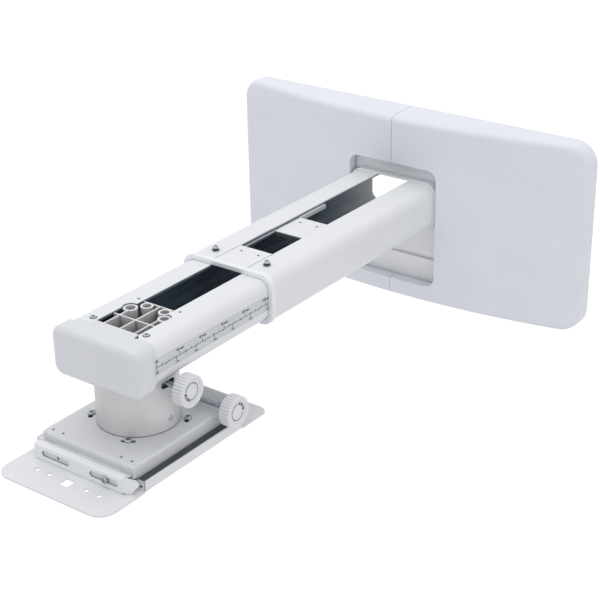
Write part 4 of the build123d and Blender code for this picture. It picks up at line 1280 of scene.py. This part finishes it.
@dataclass
class Knob:
    """Fluted knob with a dished face, a plain printed ring and its threaded rod."""

    book: FinishBook
    knob_node: str
    rod_node: str
    body: Body
    print_turn: float
    flutes: int = 30
    flute_steps: int = 10
    flute_depth: float = 0.85 * MM
    flute_power: float = 1.3
    edge: float = 0.9 * MM
    edge_steps: int = 4
    rim: float = 3.3 * MM
    dish: float = 1.2 * MM
    boss: float = 4.9 * MM
    boss_drop: float = 0.25 * MM
    print_radius: float = 7.9 * MM
    ring_width: float = 0.8 * MM
    ring_ends: Spot = (20.0, 165.0)
    dots: int = 7
    dot_size: Spot = (1.56 * MM, 1.17 * MM)
    dot_angles: Spot = (8.0, -16.5)
    marks: int = 4
    mark_length: float = 2.8 * MM
    mark_widths: Spot = (1.785 * MM, 2.415 * MM)
    mark_angles: Spot = (-112.0, -22.0)
    print_depth: float = 0.04 * MM
    thread_pitch: float = 0.8 * MM
    thread_depth: float = 0.35 * MM
    thread_steps: int = 20
    thread_rows: int = 4

    def profile(self, radius: float, length: float) -> list[tuple[float, float, float]]:
        """Lists the knob's section from its back to the middle of its face.

        Args:
            radius: Outer radius.
            length: Thickness along the axis.

        Returns:
            Distance along the axis, radius and share of the flute's depth, for each ring.
        """
        edge, inner, floor = self.edge, radius - self.rim, length - self.dish
        angles = [math.radians(90 * step / self.edge_steps) for step in range(self.edge_steps + 1)]
        rows = [(0.0, 0.45 * radius, 0.0), (0.0, radius - 1.6 * edge, 0.0)]
        for angle in angles:
            inset = edge * (1 - math.sin(angle))
            rows.append((edge * (1 - math.cos(angle)), radius - inset, 1.0))
        for share in (0.25, 0.5, 0.75):
            rows.append((edge + share * (length - 2 * edge), radius, 1.0))
        for angle in angles:
            inset = edge * (1 - math.cos(angle))
            rows.append((length - edge * (1 - math.sin(angle)), radius - inset, 1.0))
        return rows + [
            (length, radius - 1.9 * edge, 0.15),
            (length, inner + 0.2 * MM, 0.0),
            (length - 0.15 * MM, inner, 0.0),
            (floor + 0.2 * MM, inner - 0.25 * MM, 0.0),
            (floor, inner - 0.5 * MM, 0.0),
            (floor, self.boss + 0.2 * MM, 0.0),
            (floor - self.boss_drop, self.boss, 0.0),
            (floor - self.boss_drop, 0.5 * self.boss, 0.0),
        ]

    def build_knob(self) -> None:
        """Makes the knob in place of its plain node."""
        low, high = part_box(self.knob_node)
        centre = centre_of(self.knob_node)
        count = self.flutes * self.flute_steps
        rows = self.profile((high.y - low.y) / 2, high.x - low.x)
        rings = []
        for along, size, share in rows:
            ring = []
            for place in range(count):
                angle = 2 * math.pi * place / count
                groove = max(0.0, math.cos(self.flutes * angle)) ** self.flute_power
                y, z = polar(size - share * self.flute_depth * groove, angle)
                ring.append((low.x + along, centre.y + y, centre.z + z))
            rings.append(ring)
        draft = MeshDraft()
        ends = (low.x, low.x + rows[-1][0])
        draft.turn(rings, tuple((end, centre.y, centre.z) for end in ends))
        plastic = self.book.material(self.book.knob)
        made = draft.piece(f"{self.knob_node}_fluted", plastic, self.body, Slot.KNOB, 50.0)
        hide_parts(self.knob_node)

    def build_print(self) -> None:
        """Makes the ring, dots and plain marks on the knob's face."""
        centre = centre_of(self.knob_node)
        face = facing_right((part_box(self.knob_node)[1].x - self.dish, centre.y, centre.z))
        plane = face @ Matrix.Rotation(math.radians(self.print_turn), 4, "Z")
        draft = MeshDraft()
        ends = tuple(math.radians(end) for end in self.ring_ends)
        draft.arc(self.print_radius, self.ring_width, ends, plane, self.print_depth)
        bars = [(self.dot_angles, place, self.dot_size) for place in range(self.dots)]
        for place in range(self.marks):
            size = (self.mark_length, self.mark_widths[place % 2])
            bars.append((self.mark_angles, place, size))
        for (start, step), place, size in bars:
            angle = math.radians(start + step * place)
            draft.bar(polar(self.print_radius, angle), size, plane, self.print_depth, angle)
        ink = self.book.material(self.book.ink)
        draft.piece(f"{self.knob_node}_print", ink, self.body, Slot.KNOB)

    def build_rod(self) -> None:
        """Makes the threaded rod in place of its plain node."""
        low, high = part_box(self.rod_node)
        centre = centre_of(self.rod_node)
        radius = (high.z - low.z) / 2
        rows = int((high.x - low.x) / self.thread_pitch * self.thread_rows)
        rings = []
        for row in range(rows + 1):
            along = low.x + (high.x - low.x) * row / rows
            ring = []
            for place in range(self.thread_steps):
                turn = place / self.thread_steps
                phase = ((along - low.x) / self.thread_pitch - turn) % 1.0
                reach = radius - self.thread_depth * abs(2 * phase - 1)
                y, z = polar(reach, 2 * math.pi * turn)
                ring.append((along, centre.y + y, centre.z + z))
            rings.append(ring)
        draft = MeshDraft()
        draft.turn(rings, tuple((end, centre.y, centre.z) for end in (low.x, high.x)))
        metal = self.book.material(self.book.rod)
        made = draft.piece(f"{self.rod_node}_threaded", metal, self.body, Slot.ZINC, 20.0)
        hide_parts(self.rod_node)

    def build(self) -> None:
        """Makes the knob, its print and its rod."""
        self.build_knob()
        self.build_print()
        self.build_rod()


@dataclass
class TiltHead:
    """Drum with its pin and ring, tray, projector plate and lock bar."""

    book: FinishBook
    drum_foot: float = -66.5 * MM
    drum_wall: float = 1.2 * MM
    left_plug: float = 14.0 * MM
    right_plug: float = 0.3 * MM
    slot_places: tuple[Spot, ...] = ((-27.0 * MM, -80.1 * MM), (30.3 * MM, -80.1 * MM))
    slot_length: float = 32.5 * MM
    slot_height: float = 5.4 * MM
    lip_half: float = 38.0 * MM
    lip_reach: float = 51.6 * MM
    lip_front: float = -527.8 * MM
    lip_low: float = -85.5 * MM
    shelf_top: float = -74.7 * MM
    shelf_rear: float = -517.2 * MM
    sheet: float = 1.5 * MM
    corner_side: float = 54.4 * MM
    corner_front: float = -517.1 * MM
    corner_width: float = 5.5 * MM
    corner_rear: float = -512.2 * MM
    corner_low: float = -78.3 * MM
    corner_top: float = -66.7 * MM
    corner_round: float = 2.2 * MM
    corner_steps: int = 6
    corner_crest: tuple[Spot, ...] = ((1.1 * MM, 0.3 * MM), (0.4 * MM, 0.9 * MM), (0.0, 2.0 * MM))

    def lip_ends(self) -> None:
        """Makes the two ends of the tray's shelf and lip behind the lock bar."""
        draft = MeshDraft()
        flat = at(0.0, 0.0, self.shelf_top - self.sheet)
        upright = at(0.0, self.lip_front + self.sheet, 0.0) @ Matrix.Rotation(math.pi / 2, 4, "X")
        centre = (self.lip_half + self.lip_reach) / 2
        width = self.lip_reach - self.lip_half
        parts = (
            (flat, self.lip_front, self.shelf_rear),
            (upright, self.lip_low, self.shelf_top),
        )
        for side in SIDES:
            for plane, first, last in parts:
                spot = (side * centre, (first + last) / 2)
                draft.bar(spot, (width, last - first), plane, self.sheet)
        silky = self.book.material(self.book.tray)
        draft.piece("tray_lip_ends", silky, Body.TRAY, Slot.COAT, 30.0)

    def corner_outline(self, inset: float) -> list[Spot]:
        """Lists the outline of the right bead.

        Args:
            inset: How far its rounded corner is drawn in.

        Returns:
            Its corners, counter-clockwise.
        """
        inner = self.corner_side - self.corner_width
        outline = [(inner, self.corner_rear), (self.corner_side - inset, self.corner_rear)]
        for step in range(self.corner_steps + 1):
            angle = math.radians(90 * step / self.corner_steps)
            x = self.corner_side - inset - self.corner_round * (1 - math.cos(angle))
            y = self.corner_front + inset + self.corner_round * (1 - math.sin(angle))
            outline.append((x, y))
        return outline + [(inner, self.corner_front + inset)]

    def corner_beads(self) -> None:
        """Makes the rounded beads that close the tray's two front corners."""
        levels = [(self.corner_low, 0.0), (self.corner_top - self.corner_round, 0.0)]
        levels += [(self.corner_top - drop, inset) for drop, inset in self.corner_crest]
        draft = MeshDraft()
        for side in SIDES:
            draft.turn([
                [(side * x, y, height) for x, y in self.corner_outline(inset)]
                for height, inset in levels
            ])
        silky = self.book.material(self.book.tray)
        weigh_normals(draft.piece("tray_corner_beads", silky, Body.TRAY, Slot.COAT))

    def dress(self) -> None:
        """Gives each node its finish and adds the small pieces."""
        book = self.book
        low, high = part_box("drum")
        # The drum's finish paints a shadow line at its foot and shade inside it.
        drum = TurnedFinish(
            "drum_cast_turned", (0.640, 0.640, 0.648), roughness=0.46, metallic=0.3,
            foot=self.drum_foot, middle=tuple((low + high) / 2),
            inside_radius=(high.x - low.x) / 2 - self.drum_wall,
        )
        bar = SlottedFinish(
            "powder_coat_slotted", (0.830, 0.845, 0.875), roughness=0.38,
            slot_places=self.slot_places, slot_half=self.slot_length / 2,
            slot_radius=self.slot_height / 2,
        )
        book.dress(drum, "drum")
        book.dress(bar, "lock_bar")
        for node, length in (("glide_left", self.left_plug), ("glide_right", self.right_plug)):
            strip = DrawnFinish(
                f"{node}_dark", (0.038, 0.044, 0.050), roughness=0.5, tone_spread=0.12,
                plug_to=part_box(node)[0].y + length,
            )
            book.dress(strip, node)
        book.dress(book.bracket, "yaw_ring")
        book.dress(book.zinc, "tilt_pin", "ring_bolt", "yaw_screws", "tray_screw", "lock_bar_screw")
        book.dress(book.zinc, "tilt_rod", "adjuster_rod")
        book.dress(book.tray, "tray", "adjuster_bracket")
        book.dress(book.plate, "projector_plate")
        book.dress(book.knob, "tilt_knob", "adjuster_knob")
        self.lip_ends()
        self.corner_beads()


@dataclass
class Studio:
    """Camera, soft lamps, white surroundings and a pale floor."""

    eye: Point = (0.80157, -1.27189, 0.58581)
    azimuth: float = 36.967
    elevation: float = 25.366
    roll: float = -1.031
    lens: float = 87.72
    sensor: float = 36.0
    clip: Spot = (0.05, 50.0)
    floor_drop: float = 0.45
    floor_half: float = 12.0
    floor_colour: Colour = (0.80, 0.80, 0.80)
    floor_lift: float = 0.36
    world_strength: float = 0.78
    key_energy: float = 17.0
    key_size: float = 2.2
    key_place: Point = (-0.5, -0.2, 2.4)
    fill_energy: float = 3.8
    fill_size: float = 1.2
    fill_place: Point = (2.3, -1.3, 0.7)
    aim: Point = (0.0, -0.28, -0.02)

    def make_camera(self) -> None:
        """Makes the camera at the photograph's angle."""
        turn, tilt = math.radians(self.azimuth), math.radians(self.elevation)
        side, front = math.sin(turn) * math.cos(tilt), -math.cos(turn) * math.cos(tilt)
        back = Vector((side, front, math.sin(tilt)))
        look = (-back).to_track_quat("-Z", "Y").to_matrix()
        rolled = look @ Matrix.Rotation(math.radians(self.roll), 3, "Z")
        data = bpy.data.cameras.new("photo_camera")
        data.sensor_fit = "HORIZONTAL"
        data.sensor_width = self.sensor
        data.lens = self.lens
        data.clip_start, data.clip_end = self.clip
        camera = bpy.data.objects.new("photo_camera", data)
        camera.matrix_world = Matrix.Translation(self.eye) @ rolled.to_4x4()
        bpy.context.scene.collection.objects.link(camera)
        bpy.context.scene.camera = camera

    def make_lamp(self, name: str, place: Point, energy: float, size: float) -> None:
        """Makes one soft lamp that points at the object.

        Args:
            name: Name of the lamp.
            place: Where it stands.
            energy: Power in watts.
            size: Side of its square.
        """
        data = bpy.data.lights.new(name, "AREA")
        data.energy = energy
        data.size = size
        lamp = bpy.data.objects.new(name, data)
        look = (Vector(self.aim) - Vector(place)).to_track_quat("-Z", "Y").to_matrix()
        lamp.matrix_world = Matrix.Translation(place) @ look.to_4x4()
        bpy.context.scene.collection.objects.link(lamp)

    def seen_share(self, graph: Graph) -> Socket:
        """Tells rays of the camera, of gloss and of transmission from the others.

        Args:
            graph: Node tree to work in.

        Returns:
            A socket that is 1 for those rays.
        """
        path = graph.put("ShaderNodeLightPath")
        share = path.outputs["Is Camera Ray"]
        for name in ("Is Glossy Ray", "Is Transmission Ray"):
            share = graph.wire("ShaderNodeMath", share, path.outputs[name], operation="MAXIMUM")
        return share

    def make_world(self) -> None:
        """Makes surroundings that light softly and look white."""
        world = bpy.data.worlds.new("white_room")
        graph = Graph(world)
        light = graph.wire("ShaderNodeBackground", WHITE, self.world_strength)
        seen = graph.wire("ShaderNodeBackground", WHITE, 1.0)
        mixed = graph.wire("ShaderNodeMixShader", self.seen_share(graph), light, seen)
        graph.wire("ShaderNodeOutputWorld", mixed)
        bpy.context.scene.world = world

    def floor_material(self) -> bpy.types.Material:
        """Makes the floor's material, which keeps a light shadow and is clear from below.

        Returns:
            The material.
        """
        material = bpy.data.materials.new("floor_pale")
        graph = Graph(material)
        plain = graph.wire("ShaderNodeBsdfDiffuse", (*self.floor_colour, 1.0))
        lift = graph.wire("ShaderNodeEmission", WHITE, self.floor_lift)
        both = graph.wire("ShaderNodeAddShader", plain, lift)
        seen = graph.wire("ShaderNodeMixShader", self.seen_share(graph), plain, both)
        clear = graph.wire("ShaderNodeBsdfTransparent")
        below = graph.put("ShaderNodeNewGeometry").outputs["Backfacing"]
        surface = graph.wire("ShaderNodeMixShader", below, seen, clear)
        graph.wire("ShaderNodeOutputMaterial", surface)
        return material

    def make_floor(self) -> None:
        """Makes the floor below the object."""
        half = self.floor_half
        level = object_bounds()[0].z - self.floor_drop
        mesh = bpy.data.meshes.new("floor")
        corners = ((-half, -half), (half, -half), (half, half), (-half, half))
        mesh.from_pydata([(*corner, level) for corner in corners], [], [(0, 1, 2, 3)])
        mesh.materials.append(self.floor_material())
        floor = bpy.data.objects.new("floor", mesh)
        bpy.context.scene.collection.objects.link(floor)
        floor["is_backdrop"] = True

    def build(self) -> None:
        """Makes the camera, lamps, surroundings and floor."""
        self.make_camera()
        self.make_lamp("key", self.key_place, self.key_energy, self.key_size)
        self.make_lamp("fill", self.fill_place, self.fill_energy, self.fill_size)
        self.make_world()
        self.make_floor()
        bpy.context.scene.view_settings.view_transform = "Standard"


def main() -> None:
    """Builds the looks of the mount in order."""
    logging.basicConfig(level=logging.INFO, format="%(name)s %(message)s")
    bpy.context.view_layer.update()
    Studio().build()
    book = FinishBook()
    WallSide(book).dress()
    Arm(book).dress()
    EndCap(book).build()
    ScrewRecesses(book).build()
    TiltHead(book).dress()
    LengthScale(book).build()
    Knob(book, "tilt_knob", "tilt_rod", Body.TILT_HANDLE, 0.0).build()
    Knob(book, "adjuster_knob", "adjuster_rod", Body.ADJUSTER_HANDLE, 180.0).build()


if __name__ == "__main__":
    main()
